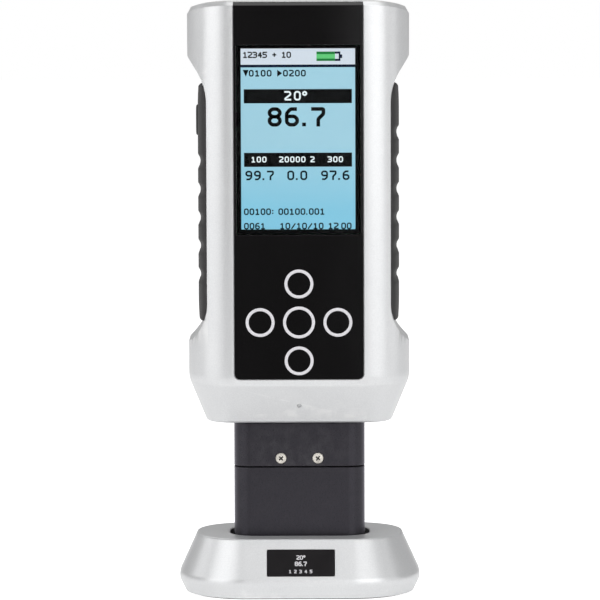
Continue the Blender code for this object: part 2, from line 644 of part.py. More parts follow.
def make_lower_block(finish):
    """Optics block: two tilted bores with lens and board shoulders, and two lugs."""
    block = head_block("lower_head_block", HEAD_FOOT, LOWER_BLOCK_TOP, finish)
    inner_face = HEAD_DEPTH / 2 - HEAD_FACE_WALL - GAP
    for face in (-1, 1):
        near = face * (inner_face - LUG_THICKNESS)
        far = face * inner_face
        lug = box(f"join_lug_{'front' if face < 0 else 'rear'}",
                  (-LUG_WIDTH / 2, min(near, far), LOWER_BLOCK_TOP - BURY),
                  (LUG_WIDTH / 2, max(near, far), LOWER_BLOCK_TOP + LUG_HEIGHT))
        add(block, lug)
    for side in (-1, 1):
        bore = turned(f"cut_bore_{'source' if side < 0 else 'receiver'}", [
            (0.0, -LENS_BORE_RADIUS),
            (APERTURE_RADIUS, -LENS_BORE_RADIUS),
            (APERTURE_RADIUS, LENS_SHOULDER),
            (LENS_BORE_RADIUS, LENS_SHOULDER),
            (LENS_BORE_RADIUS, BOARD_SHOULDER),
            (BOARD_BORE_RADIUS, BOARD_SHOULDER),
            (BOARD_BORE_RADIUS, SEAM_HEIGHT),
            (0.0, SEAM_HEIGHT),
        ], ROUND_SEGMENTS)
        optic_place(bore, side)
        cut(block, bore)
    for index, (side, face) in enumerate(head_screw_places()):
        hole = head_screw_shape(f"cut_lug_hole_{index + 1}", GAP)
        place_head_screw(hole, side, face)
        cut(block, hole)
    return block


def make_upper_block(finish):
    """Hollow block that carries the lower one and reaches through the housing's floor."""
    block = head_block("upper_head_block", UPPER_BLOCK_FOOT, UPPER_BLOCK_TOP, finish)
    neck_outline = rounded_rectangle(NECK_WIDTH, NECK_DEPTH, NECK_CORNER_RADIUS, FILLET_STEPS)
    neck = stack("join_neck", [(neck_outline, UPPER_BLOCK_TOP - BURY), (neck_outline, NECK_TOP)])
    add(block, neck)
    cavity_outline = rounded_rectangle(HEAD_WIDTH - 2 * HEAD_SIDE_WALL, HEAD_DEPTH - 2 * HEAD_FACE_WALL,
                                       HEAD_CORNER_RADIUS - HEAD_SIDE_WALL, FILLET_STEPS)
    cavity_top = UPPER_BLOCK_TOP - HEAD_ROOF
    cavity = stack("cut_head_cavity", [
        (cavity_outline, UPPER_BLOCK_FOOT - BURY), (cavity_outline, cavity_top)])
    duct_outline = rounded_rectangle(CABLE_HOLE_WIDTH, CABLE_HOLE_DEPTH, NECK_CORNER_RADIUS, FILLET_STEPS)
    duct = stack("cut_cable_duct", [(duct_outline, cavity_top - BURY), (duct_outline, NECK_TOP + BURY)])
    cut(block, cavity, duct)
    for index, (side, face) in enumerate(head_screw_places()):
        hole = head_screw_shape(f"cut_block_hole_{index + 1}", GAP)
        place_head_screw(hole, side, face)
        cut(block, hole)
    for side in (-1, 1):
        pilot = rod(f"cut_plate_pilot_{'left' if side < 0 else 'right'}", PLATE_SCREW_RADIUS + GAP,
                    NECK_TOP + GAP - PLATE_SCREW_GRIP - GAP, NECK_TOP + BURY)
        pilot.location = (side * PLATE_SCREW_SPACING / 2, 0.0, 0.0)
        cut(block, pilot)
    return block


def make_head_fasteners(steel, plate_finish):
    """Four head screws, and the plate and screws that hold the head to the housing."""
    for index, (side, face) in enumerate(head_screw_places()):
        screw = head_screw_shape(f"head_screw_{index + 1}", 0.0, steel)
        place_head_screw(screw, side, face)
    foot = NECK_TOP + GAP
    top = foot + HEAD_PLATE_THICKNESS
    outline = rounded_rectangle(HEAD_PLATE_WIDTH, HEAD_PLATE_DEPTH, NECK_CORNER_RADIUS, FILLET_STEPS)
    plate = stack("head_plate", [(outline, foot), (outline, top)], plate_finish)
    duct_outline = rounded_rectangle(CABLE_HOLE_WIDTH, CABLE_HOLE_DEPTH, NECK_CORNER_RADIUS, FILLET_STEPS)
    cut(plate, stack("cut_plate_duct", [(duct_outline, foot - BURY), (duct_outline, top + BURY)]))
    for side in (-1, 1):
        place = (side * PLATE_SCREW_SPACING / 2, 0.0, 0.0)
        word = "left" if side < 0 else "right"
        hole = rod(f"cut_plate_hole_{word}", PLATE_SCREW_RADIUS + GAP, foot - BURY, top + BURY)
        hole.location = place
        cut(plate, hole)
        screw = turned(f"plate_screw_{word}", [
            (0.0, foot - PLATE_SCREW_GRIP),
            (PLATE_SCREW_RADIUS, foot - PLATE_SCREW_GRIP),
            (PLATE_SCREW_RADIUS, top + GAP),
            (PLATE_SCREW_HEAD_RADIUS, top + GAP),
            (PLATE_SCREW_HEAD_RADIUS, top + GAP + PLATE_SCREW_HEAD),
            (0.0, top + GAP + PLATE_SCREW_HEAD),
        ], SMALL_SEGMENTS, steel)
        screw.location = place


def lens(name, side, finish):
    """Lens with two bulging faces and a flat edge, on the shoulder of its bore."""
    radius = LENS_BORE_RADIUS - GAP
    low = LENS_SHOULDER + GAP
    middle = low + LENS_EDGE / 2
    lower = []
    upper = []
    for step in range(FILLET_STEPS + 1):
        share = step / FILLET_STEPS
        rise = LENS_EDGE / 2 + LENS_BULGE * (1.0 - share * share)
        lower.append((radius * share, middle - rise))
        upper.append((radius * share, middle + rise))
    made = turned(name, lower + upper[::-1], ROUND_SEGMENTS, finish)
    optic_place(made, side)
    return made


def stop_disc(name, side, low, hole, finish):
    """Thin disc with a round hole, across its bore."""
    made = ring(name, LENS_BORE_RADIUS - GAP, hole, low, low + STOP_THICKNESS, finish=finish)
    optic_place(made, side)
    return made


def make_optics(glass, black, board, chip, led):
    """Everything in the two bores, from the lens up to the board."""
    spacer_foot = LENS_SHOULDER + GAP + LENS_EDGE + GAP
    outer = LENS_BORE_RADIUS - GAP
    for side, word, length, hole in ((-1, "source", SOURCE_SPACER, SOURCE_PINHOLE),
                                     (1, "receiver", RECEIVER_SPACER, RECEIVER_SLIT_RADIUS)):
        lens(f"{word}_lens", side, glass)
        spacer = ring(f"{word}_spacer", outer, outer - SPACER_WALL,
                      spacer_foot, spacer_foot + length, finish=black)
        optic_place(spacer, side)
        stop_disc(f"{word}_aperture", side, spacer_foot + length + GAP, hole, black)
        board_foot = BOARD_SHOULDER + GAP
        disc = rod(f"{word}_board", BOARD_BORE_RADIUS - GAP, board_foot, board_foot + OPTIC_BOARD_THICKNESS,
                   ROUND_SEGMENTS, board)
        optic_place(disc, side)
    lamp_top = BOARD_SHOULDER
    lamp_foot = lamp_top - LED_LENGTH
    dome = [(LED_RADIUS * math.sin(math.pi / 2 * step / FILLET_STEPS),
             lamp_foot + LED_RADIUS * (1.0 - math.cos(math.pi / 2 * step / FILLET_STEPS)))
            for step in range(FILLET_STEPS + 1)]
    lamp = turned("source_led", dome + [
        (LED_RADIUS, lamp_top - LED_FLANGE),
        (LED_FLANGE_RADIUS, lamp_top - LED_FLANGE),
        (LED_FLANGE_RADIUS, lamp_top),
        (0.0, lamp_top),
    ], SMALL_SEGMENTS, led)
    optic_place(lamp, -1)
    array = box("receiver_array",
                (-ARRAY_WIDTH / 2, -ARRAY_DEPTH / 2, BOARD_SHOULDER - ARRAY_HEIGHT),
                (ARRAY_WIDTH / 2, ARRAY_DEPTH / 2, BOARD_SHOULDER), chip)
    optic_place(array, 1)


# Housing

def side_corners():
    """Half width against height, from the top down to the underside."""
    return [
        (BODY_HALF, BODY_TOP, 0.0),
        (BODY_HALF, BODY_TOP - SHOULDER_DROP, SHOULDER_RADIUS),
        (WAIST_HALF, WAIST_TOP, SHOULDER_SWEEP_RADIUS),
        (WAIST_HALF, WAIST_FOOT, HIP_SWEEP_RADIUS),
        (BODY_HALF, BODY_BOTTOM + HIP_RISE, HIP_RADIUS),
        (BODY_HALF, CHIN_CREASE, CHIN_SIDE_RADIUS),
        (CHIN_WIDTH / 2, BODY_BOTTOM, CHIN_EDGE_RADIUS),
        (CHIN_WIDTH / 2 - CHIN_LIP, BODY_BOTTOM, 0.0),
    ]


def face_corners():
    """Distance of the face from the middle against height, as side_corners."""
    return [
        (FACE, BODY_TOP, 0.0),
        (FACE, CHIN_CREASE, CHIN_FACE_RADIUS),
        (CHIN_DEPTH / 2, BODY_BOTTOM, CHIN_EDGE_RADIUS),
        (CHIN_DEPTH / 2 - CHIN_LIP, BODY_BOTTOM, 0.0),
    ]


def section(full_half, limit, front, rear, side_flat):
    """Plan section: flat face and back, elliptic corners, cut off at limit on each side."""
    flat = FRONT_FLAT / 2
    stop = math.asin(min((limit - flat) / (full_half - flat), 1.0))
    half = []
    for step in range(SECTION_STEPS + 1):
        angle = stop * step / SECTION_STEPS
        x = flat + (full_half - flat) * math.sin(angle)
        half.append((x, -side_flat - (front - side_flat) * math.cos(angle),
                     side_flat + (rear - side_flat) * math.cos(angle)))
    right = [(x, face) for x, face, _ in half] + [(x, back) for x, _, back in reversed(half)]
    left = [(-x, back) for x, _, back in half] + [(-x, face) for x, face, _ in reversed(half)]
    return right + left


def top_height(x):
    """Height of the top, which falls along a quarter ellipse towards each side."""
    flat = FRONT_FLAT / 2
    share = max(abs(x) - flat, 0.0) / (BODY_HALF - flat)
    return BODY_TOP - TOP_DROP * (1.0 - math.sqrt(max(1.0 - share * share, 0.0)))


def body_rings(side_inset, face_inset):
    """Rings of the housing's skin, underside last, moved inwards by the insets."""
    sides = filleted(offset_corners(side_corners(), side_inset))
    faces = filleted(offset_corners(face_corners(), face_inset))
    backs = filleted(offset_corners(face_corners(), side_inset))
    chin_points = 2 * (FILLET_STEPS + 1) + 1
    straight = len(sides) - chin_points
    rings = []
    for index, (limit, height) in enumerate(sides[1:], start=1):
        below = index - straight
        front = faces[below + 1].x if below >= 0 else faces[0].x
        rear = backs[below + 1].x if below >= 0 else backs[0].x
        share = max(BODY_BOTTOM + CHIN_HEIGHT - height, 0.0) / CHIN_HEIGHT
        side_flat = (SIDE_FLAT * (1.0 - share) + CHIN_SIDE_FLAT * share) / 2
        full = limit if below >= 0 else BODY_HALF - side_inset
        outline = section(full, limit, front, rear, side_flat)
        rings.append([(x, y, height) for x, y in outline])
    return rings


def body_skin(name, side_inset, face_inset, roof, chamfer, finish=None):
    """Closed skin of the housing whose top falls towards both sides."""
    rings = body_rings(side_inset, face_inset)
    half = BODY_HALF - side_inset
    front = FACE - face_inset
    rear = FACE - side_inset
    edge = section(half, half, front, rear, SIDE_FLAT / 2)
    upper = [(x, y, top_height(x) - roof - chamfer) for x, y in edge]
    stations = [upper] + rings
    if chamfer > 0.0:
        rim = section(half - chamfer, half - chamfer, front - chamfer, rear - chamfer, SIDE_FLAT / 2)
        stations.insert(0, [(x, y, top_height(x) - roof) for x, y in rim])
    shape = bmesh.new()
    rows = [[shape.verts.new(point) for point in station] for station in stations]
    for high, low in zip(rows, rows[1:]):
        for index in range(len(low)):
            after = (index + 1) % len(low)
            shape.faces.new((low[index], low[after], high[after], high[index]))
    shape.faces.new(rows[-1])
    close_top(shape, rows[0])
    return finish_mesh(name, shape, finish)


def close_top(shape, row):
    """Close a ring of section points with strips that run from the face to the back."""
    steps = SECTION_STEPS
    last = 4 * steps + 3
    shape.faces.new((row[last], row[0], row[2 * steps + 1], row[2 * steps + 2]))
    for step in range(steps):
        shape.faces.new((row[step], row[step + 1], row[2 * steps - step], row[2 * steps + 1 - step]))
        shape.faces.new((row[last - step - 1], row[last - step], row[2 * steps + 2 + step],
                         row[2 * steps + 3 + step]))


def panel_outline(half, foot, top, radius):
    """Outline in X and Z: square at the top, round corners at the foot."""
    points = [(half, top), (-half, top)]
    for side, start in ((-1, 180.0), (1, 270.0)):
        for step in range(FILLET_STEPS + 1):
            angle = math.radians(start + 90.0 * step / FILLET_STEPS)
            points.append((side * (half - radius) + radius * math.cos(angle),
                           foot + radius + radius * math.sin(angle)))
    return points


def upright(name, levels, finish=None):
    """Solid through outlines in X and Z, each given with its depth along Y."""
    rings = [[(x, depth, z) for x, z in outline] for outline, depth in levels]
    return loft(name, rings, finish)


def upright_rectangle(width, foot, top, radius):
    """Round-cornered outline in X and Z between two heights."""
    outline = rounded_rectangle(width, top - foot, radius, FILLET_STEPS)
    return [(x, z + (foot + top) / 2) for x, z in outline]


def panel_pocket():
    """Pocket for the front panel, open at the top, with a chamfered rim."""
    half = PANEL_WIDTH / 2 + GAP
    foot = PANEL_FOOT - GAP
    radius = PANEL_CORNER_RADIUS + GAP
    top = BODY_TOP + BURY
    plain = panel_outline(half, foot, top, radius)
    spread = PANEL_RIM_CHAMFER + BURY
    flared = panel_outline(half + spread, foot - spread, top, radius + spread)
    return upright("cut_panel_pocket", [
        (plain, BEHIND_PANEL), (plain, PANEL_RIM_CHAMFER - FACE), (flared, -FACE - BURY)])


def board_window(name, outline_width, foot, top):
    """Opening through the pocket's floor, for a piece glued behind the panel."""
    outline = upright_rectangle(outline_width, foot, top, DISPLAY_CORNER_RADIUS)
    return upright(name, [(outline, BEHIND_PANEL - BURY), (outline, FACE_WALL - FACE + BURY)])


def touch_board_size():
    """Width and lower and upper edge of the key board, from the keys."""
    return 2 * KEY_REACH, KEY_CENTRE - KEY_REACH, KEY_CENTRE + KEY_REACH


def case_bosses(shell, side_of_split):
    """Four bosses that clamp the main board; -1 makes the front ones, 1 the rear ones."""
    for level_index, level in enumerate(CASE_SCREW_LEVELS):
        for side in (-1, 1):
            half = "front" if side_of_split < 0 else "rear"
            word = f"{half}_{level_index + 1}_{'left' if side < 0 else 'right'}"
            if side_of_split < 0:
                low, high = FACE_WALL / 2 - FACE, BOARD_FRONT - GAP
            else:
                low, high = BOARD_BACK + GAP, FACE - WALL / 2
            boss = rod(f"join_boss_{word}", BOSS_RADIUS, -high, -low)
            boss.location = (side * CASE_SCREW_X, 0.0, level)
            boss.rotation_euler = (math.pi / 2, 0.0, 0.0)
            add(shell, boss)


def case_screw_shape(name, margin, finish=None):
    """Case screw along Z, head at the high end; margin makes its hole."""
    seat = FACE - CASE_SCREW_RECESS + GAP
    tip = BOARD_FRONT - CASE_SCREW_BITE
    crown = seat + CASE_SCREW_HEAD
    if margin > 0.0:
        profile = [(0.0, tip - margin), (CASE_SCREW_RADIUS + margin, tip - margin),
                   (CASE_SCREW_RADIUS + margin, seat - margin),
                   (CASE_SCREW_HEAD_RADIUS + margin, seat - margin),
                   (CASE_SCREW_HEAD_RADIUS + margin, FACE + BURY), (0.0, FACE + BURY)]
    else:
        profile = [(0.0, tip), (CASE_SCREW_RADIUS, tip), (CASE_SCREW_RADIUS, seat),
                   (CASE_SCREW_HEAD_RADIUS, seat), (CASE_SCREW_HEAD_RADIUS, crown - HEAD_EDGE),
                   (CASE_SCREW_HEAD_RADIUS - HEAD_EDGE, crown), (0.0, crown)]
    return turned(name, profile, SMALL_SEGMENTS, finish)


def place_case_screws(stem, margin, finish=None):
    """Four case screws, or their holes, pointing out of the back."""
    made = []
    for level_index, level in enumerate(CASE_SCREW_LEVELS):
        for side_index, side in enumerate((-1, 1)):
            screw = case_screw_shape(f"{stem}_{2 * level_index + side_index + 1}", margin, finish)
            screw.location = (side * CASE_SCREW_X, 0.0, level)
            screw.rotation_euler = (-math.pi / 2, 0.0, 0.0)
            made.append(screw)
    return made


def half_space(name, side_of_split):
    """Large box on one side of the parting plane."""
    reach = BODY_DEPTH
    if side_of_split < 0:
        low, high = -reach, SPLIT_DEPTH - GAP / 2
    else:
        low, high = SPLIT_DEPTH + GAP / 2, reach
    return box(name, (-BODY_WIDTH, low, BODY_BOTTOM - BURY), (BODY_WIDTH, high, BODY_TOP + BURY))


def neck_opening():
    """Opening in the floor of the housing for the neck of the head."""
    outline = rounded_rectangle(NECK_WIDTH + 2 * GAP, NECK_DEPTH + 2 * GAP,
                                NECK_CORNER_RADIUS + GAP, FILLET_STEPS)
    return stack("cut_neck", [(outline, BODY_BOTTOM - BURY), (outline, NECK_TOP + BURY)])


def stem_opening():
    """Opening in the left wall for the stem of the side button."""
    half_depth = STEM_DEPTH / 2 + BUTTON_CLEARANCE
    half_height = STEM_HEIGHT / 2 + BUTTON_CLEARANCE
    return box("cut_stem", (-WAIST_HALF - BURY, -half_depth, BUTTON_CENTRE - half_height),
               (WALL + BURY - WAIST_HALF, half_depth, BUTTON_CENTRE + half_height))


def usb_opening():
    """Opening in the top for the mouth of the data socket."""
    half = USB_WIDTH / 2 + GAP
    back = BOARD_FRONT - GAP
    return box("cut_usb", (-half, back - USB_THICKNESS - GAP, BODY_TOP - WALL - BURY),
               (half, back + GAP, BODY_TOP + BURY))


def status_place(piece):
    """Point a piece along Z out of the sloping chin."""
    slope = math.atan2((BODY_DEPTH - CHIN_DEPTH) / 2, CHIN_HEIGHT)
    front = CHIN_DEPTH / 2 + STATUS_RISE * math.tan(slope)
    piece.location = (0.0, -front, BODY_BOTTOM + STATUS_RISE)
    piece.rotation_euler = (math.pi / 2 + slope, 0.0, 0.0)


def make_front_shell(finish):
    """Front half: face, chin, panel pocket and the bosses that carry the board."""
    shell = body_skin("front_shell", 0.0, 0.0, 0.0, TOP_CHAMFER, finish)
    hollow = body_skin("cut_hollow", WALL, FACE_WALL, WALL, 0.0)
    keep = half_space("keep_front", -1)
    use_boolean(shell, keep, "INTERSECT")
    cut(shell, hollow, panel_pocket())
    cut(shell, board_window("cut_display_window", DISPLAY_WIDTH, DISPLAY_FOOT, DISPLAY_TOP))
    width, foot, top = touch_board_size()
    cut(shell, board_window("cut_touch_window", width, foot, top))
    cut(shell, neck_opening(), stem_opening(), usb_opening())
    case_bosses(shell, -1)
    cut(shell, *place_case_screws("cut_case_screw", GAP))
    light = rod("cut_status", STATUS_RADIUS + GAP, -STATUS_LENGTH, BURY)
    status_place(light)
    cut(shell, light)
    return shell


def make_rear_shell(finish):
    """Rear half: back, screw bosses and the cradle of the battery."""
    shell = body_skin("rear_shell", 0.0, 0.0, 0.0, TOP_CHAMFER, finish)
    keep = half_space("keep_rear", 1)
    use_boolean(shell, keep, "INTERSECT")
    helpers = bpy.data.objects
    cut(shell, helpers["cut_hollow"], helpers["cut_neck"])
    case_bosses(shell, 1)
    low = BODY_BOTTOM + BATTERY_RISE
    high = low + BATTERY_HEIGHT
    grown = CRADLE_WALL + GAP
    inner_back = FACE - WALL
    outline = upright_rectangle(BATTERY_WIDTH + 2 * grown, low - grown, high + grown,
                                BATTERY_CORNER_RADIUS + grown)
    cradle = upright("join_cradle", [(outline, inner_back - CRADLE_DEPTH), (outline, inner_back + WALL / 2)])
    bay = upright_rectangle(BATTERY_WIDTH + 2 * GAP, low - GAP, high + GAP, BATTERY_CORNER_RADIUS + GAP)
    cut(cradle, upright("cut_bay", [(bay, inner_back - CRADLE_DEPTH - BURY), (bay, inner_back + WALL)]))
    add(shell, cradle)
    cut(shell, *[helpers[f"cut_case_screw_{index + 1}"] for index in range(4)])
    return shell


def make_panel(black_gloss, clear, lcd, board):
    """Front panel with its display window, and what lies right behind it."""
    blank = panel_outline(PANEL_WIDTH / 2, PANEL_FOOT, BODY_TOP, PANEL_CORNER_RADIUS)
    panel = upright("front_panel", [(blank, PANEL_BACK), (blank, -FACE)], black_gloss)
    edge = [(-FACE - BURY, BODY_TOP - TOP_CHAMFER - BURY), (TOP_CHAMFER - FACE + BURY, BODY_TOP + BURY),
            (-FACE - BURY, BODY_TOP + BURY)]
    cut(panel, sideways("cut_panel_edge", [(edge, -BODY_HALF), (edge, BODY_HALF)]))
    window = upright_rectangle(DISPLAY_WIDTH, DISPLAY_FOOT, DISPLAY_TOP, DISPLAY_CORNER_RADIUS)
    cut(panel, upright("cut_panel_window", [(window, -FACE - BURY), (window, PANEL_BACK + BURY)]))
    pane = upright_rectangle(DISPLAY_WIDTH - 2 * GAP, DISPLAY_FOOT + GAP, DISPLAY_TOP - GAP,
                             DISPLAY_CORNER_RADIUS)
    upright("display_lens", [(pane, -FACE), (pane, PANEL_BACK)], clear)
    upright("lcd_module", [(pane, BEHIND_PANEL), (pane, BEHIND_PANEL + LCD_THICKNESS)], lcd)
    width, foot, top = touch_board_size()
    outline = upright_rectangle(width - 2 * GAP, foot + GAP, top - GAP, DISPLAY_CORNER_RADIUS)
    upright("touch_board", [(outline, BEHIND_PANEL), (outline, BEHIND_PANEL + TOUCH_BOARD_THICKNESS)], board)


def ripple_count(limit):
    """How many ripples fit between the lowest one and a height."""
    return 1 + math.floor((limit - RIPPLE_UPPER - RIPPLE_BASE) / RIPPLE_PITCH)


def ripple(height, count):
    """How far the grip's outer face is drawn in at a height, by its ripples."""
    for index in range(count):
        rise = height - (RIPPLE_BASE + RIPPLE_PITCH * index)
        reach = RIPPLE_UPPER if rise > 0.0 else RIPPLE_LOWER
        if abs(rise) < reach:
            return RIPPLE_DEPTH * (0.5 + 0.5 * math.cos(math.pi * rise / reach))
    return 0.0


def grip_stations(count):
    """Heights and inner faces of the grip: along the waist, and round each ripple."""
    path = filleted(side_corners())
    limit = GRIP_FACE - GRIP_END - GAP
    stations = [(height, x + GAP) for x, height in path[1:] if x < limit and height > CHIN_CREASE]
    for (x_a, z_a), (x_b, z_b) in zip(path, path[1:]):
        if (x_a - limit) * (x_b - limit) < 0.0 and z_b > CHIN_CREASE:
            height = z_a + (z_b - z_a) * (limit - x_a) / (x_b - x_a)
            stations.append((height, limit + GAP))
    for index in range(count):
        middle = RIPPLE_BASE + RIPPLE_PITCH * index
        offsets = [-RIPPLE_LOWER * share for share in (1.0, 0.62, 0.3)]
        offsets += [0.0] + [RIPPLE_UPPER * share for share in (0.4, 1.0)]
        stations += [(middle + offset, WAIST_HALF + GAP) for offset in offsets]
    return sorted(stations)


def grip_ring(height, inner, count):
    """Closed plan ring of the right grip at one height."""
    outer = GRIP_FACE - ripple(height, count)
    flat = FRONT_FLAT / 2
    share = (inner - GAP - flat) / (BODY_HALF - flat)
    edge = SIDE_FLAT / 2 + (FACE - SIDE_FLAT / 2) * math.sqrt(1.0 - share * share)
    quarter = []
    for step in range(ARC_STEPS):
        angle = math.pi / 2 * step / (ARC_STEPS - 1)
        quarter.append((inner + (outer - inner) * math.sin(angle),
                        SIDE_FLAT / 2 + (edge - SIDE_FLAT / 2) * math.cos(angle)))
    front = [(x, -y, height) for x, y in quarter]
    return front + [(x, y, height) for x, y in reversed(quarter)]


def make_grips(rubber):
    """Rubber side grips; the left one leaves room for the side button."""
    plain = WAIST_TOP - SHOULDER_SWEEP_RADIUS * math.tan(SHOULDER_TAPER / 2) - RIPPLE_TOP_SPACE
    button_foot = BUTTON_CENTRE - BUTTON_HEIGHT / 2 - BUTTON_CLEARANCE
    for word, side, limit in (("right", 1, plain), ("left", -1, min(plain, button_foot))):
        count = ripple_count(limit)
        rings = [grip_ring(height, inner, count) for height, inner in grip_stations(count)]
        rings = [[(side * x, y, z) for x, y, z in points] for points in rings]
        grip = loft(f"{word}_grip", rings, rubber)
        if side < 0:
            room = button_outline(BUTTON_CLEARANCE)
            cut(grip, sideways("cut_button_room", [(room, -GRIP_FACE - BURY), (room, BURY - WAIST_HALF)]))


def button_outline(margin):
    """Outline of the button in Y and Z, grown by margin."""
    outline = rounded_rectangle(BUTTON_DEPTH + 2 * margin, BUTTON_HEIGHT + 2 * margin,
                                BUTTON_CORNER_RADIUS + margin, FILLET_STEPS)
    return [(y, z + BUTTON_CENTRE) for y, z in outline]


def sideways(name, levels, finish=None):
    """Solid through outlines in Y and Z, each given with its place along X."""
    rings = [[(place, y, z) for y, z in outline] for outline, place in levels]
    return loft(name, rings, finish)


def make_side_button(rubber):
    """Button with a stem through the wall and a flange that keeps it in."""
    crown = -GRIP_FACE - BUTTON_PROUD
    cap_back = crown + BUTTON_CAP
    inner_wall = WALL - WAIST_HALF
    pivot = bpy.data.objects.new("side_button_axis", None)
    pivot.location = (-GRIP_FACE, 0.0, BUTTON_CENTRE)
    bpy.context.scene.collection.objects.link(pivot)
    button = sideways("side_button", [
        (button_outline(-BUTTON_EDGE), crown),
        (button_outline(0.0), crown + BUTTON_EDGE),
        (button_outline(0.0), cap_back),
    ], rubber)
    stem_end = inner_wall + STEM_REACH
    stem = box("join_stem", (cap_back - BURY / 2, -STEM_DEPTH / 2, BUTTON_CENTRE - STEM_HEIGHT / 2),
               (stem_end, STEM_DEPTH / 2, BUTTON_CENTRE + STEM_HEIGHT / 2))
    flange_near = inner_wall + GAP
    flange = box("join_stem_flange",
                 (flange_near, -STEM_FLANGE_DEPTH / 2, BUTTON_CENTRE - STEM_FLANGE_HEIGHT / 2),
                 (flange_near + STEM_FLANGE, STEM_FLANGE_DEPTH / 2, BUTTON_CENTRE + STEM_FLANGE_HEIGHT / 2))
    add(button, stem, flange)
    button.parent = pivot
    button.matrix_parent_inverse = pivot.matrix_basis.inverted()
    return stem_end


def make_electronics(stem_end, board_finish, cell, metal, chip):
    """Main board with its switch and socket, and the battery."""
    board = box("main_board", (-BOARD_HALF, BOARD_FRONT, BODY_BOTTOM + BOARD_FOOT),
                (BOARD_HALF, BOARD_BACK, BODY_TOP - BOARD_TOP_DROP), board_finish)
    cut(board, *[bpy.data.objects[f"cut_case_screw_{index + 1}"] for index in range(4)])

    plunger_tip = stem_end + BUTTON_TRAVEL + GAP
    body_face = plunger_tip + PLUNGER_LENGTH
    back = BOARD_FRONT - GAP
    middle = back - SWITCH_SIZE / 2
    switch = box("side_switch", (body_face, back - SWITCH_SIZE, BUTTON_CENTRE - SWITCH_SIZE / 2),
                 (body_face + SWITCH_WIDTH, back, BUTTON_CENTRE + SWITCH_SIZE / 2), chip)
    plunger = rod("join_plunger", PLUNGER_RADIUS, plunger_tip, body_face + PLUNGER_LENGTH)
    plunger.location = (0.0, middle, BUTTON_CENTRE)
    plunger.rotation_euler = (0.0, math.pi / 2, 0.0)
    add(switch, plunger)

    low = BODY_BOTTOM + BATTERY_RISE
    cell_back = FACE - WALL - GAP
    outline = upright_rectangle(BATTERY_WIDTH, low, low + BATTERY_HEIGHT, BATTERY_CORNER_RADIUS)
    upright("battery_pack", [(outline, cell_back - BATTERY_THICKNESS), (outline, cell_back)], cell)
    make_usb_socket(back, metal)


def make_usb_socket(back, metal):
    """Data socket: folded shell with a tongue in its mouth."""
    mouth = BODY_TOP - USB_RECESS
    half = USB_WIDTH / 2
    front = back - USB_THICKNESS
    socket = box("usb_socket", (-half, front, mouth - USB_LENGTH), (half, back, mouth), metal)
    cavity = box("cut_usb_mouth", (-half + USB_SHELL, front + USB_SHELL, mouth - USB_MOUTH_DEPTH),
                 (half - USB_SHELL, back - USB_SHELL, mouth + BURY))
    centre = (front + back) / 2
    tongue = box("join_usb_tongue",
                 (-half + 2 * USB_SHELL, centre - USB_TONGUE / 2, mouth - USB_MOUTH_DEPTH - USB_SHELL),
                 (half - 2 * USB_SHELL, centre + USB_TONGUE / 2, mouth - USB_SHELL))
    cut(socket, cavity)
    add(socket, tongue)


def make_status_light(clear):
    """Light pipe with a domed end, and a flange behind the wall of the chin."""
    dome = STATUS_RADIUS / 2
    flange = -FACE_WALL - GAP
    profile = [(0.0, flange - STATUS_FLANGE), (STATUS_FLANGE_RADIUS, flange - STATUS_FLANGE),
               (STATUS_FLANGE_RADIUS, flange), (STATUS_RADIUS, flange), (STATUS_RADIUS, 0.0),
               (STATUS_RADIUS * 0.7, dome * 0.7), (0.0, dome)]
    light = turned("status_light", profile, SMALL_SEGMENTS, clear)
    status_place(light)


def build():
    """Make every piece of the gloss meter and its base."""
    clear_scene()
    silver = material("silver_paint", (0.62, 0.63, 0.65), 0.38, 0.55)
    anodised = material("black_anodised", (0.035, 0.034, 0.036), 0.42, 0.4)
    gloss = material("black_gloss", (0.006, 0.006, 0.007), 0.08)
    rubber = material("grip_rubber", (0.05, 0.048, 0.048), 0.65)
    steel = material("steel", (0.62, 0.61, 0.6), 0.3, 1.0)
    clear = material("clear_plastic", (0.85, 0.88, 0.9), 0.05)
    tile = material("tile_glass", (0.004, 0.004, 0.005), 0.03)
    lcd = material("lcd", (0.36, 0.63, 0.75), 0.3)
    circuit = material("circuit_board", (0.02, 0.16, 0.07), 0.5)
    cell = material("battery_wrap", (0.05, 0.12, 0.3), 0.4)
    chip = material("chip_plastic", (0.02, 0.02, 0.02), 0.5)
    label = material("label_print", (0.012, 0.012, 0.013), 0.3)
    foam = material("seat_foam", (0.06, 0.06, 0.06), 0.9)

    make_base_shell(silver)
    make_base_plate(anodised)
    make_base_small_parts(steel, rubber, tile, foam, label)
    make_lower_block(anodised)
    make_upper_block(anodised)
    make_head_fasteners(steel, steel)
    make_optics(clear, anodised, circuit, chip, clear)
    make_front_shell(silver)
    make_rear_shell(silver)
    make_panel(gloss, clear, lcd, circuit)
    make_grips(rubber)
    stem_end = make_side_button(rubber)
    make_electronics(stem_end, circuit, cell, steel, chip)
    make_status_light(clear)
    place_case_screws("case_screw", 0.0, steel)
    bpy.context.view_layer.update()


build()
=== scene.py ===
"""Looks, light and camera for the gloss meter on its calibration base."""
import math

import bmesh
import bpy
from mathutils import Matrix, Vector


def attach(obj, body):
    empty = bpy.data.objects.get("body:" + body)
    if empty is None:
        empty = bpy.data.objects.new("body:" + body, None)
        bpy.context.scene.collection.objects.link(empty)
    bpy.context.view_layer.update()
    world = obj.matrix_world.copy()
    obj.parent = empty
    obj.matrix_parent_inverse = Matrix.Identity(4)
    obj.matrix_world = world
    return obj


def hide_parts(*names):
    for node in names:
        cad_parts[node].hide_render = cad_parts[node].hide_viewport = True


MM = 0.001                          # lengths are in millimetres, and metres() brings them to metres
GAP = 0.3
SMOOTH_ANGLE = math.radians(32.0)

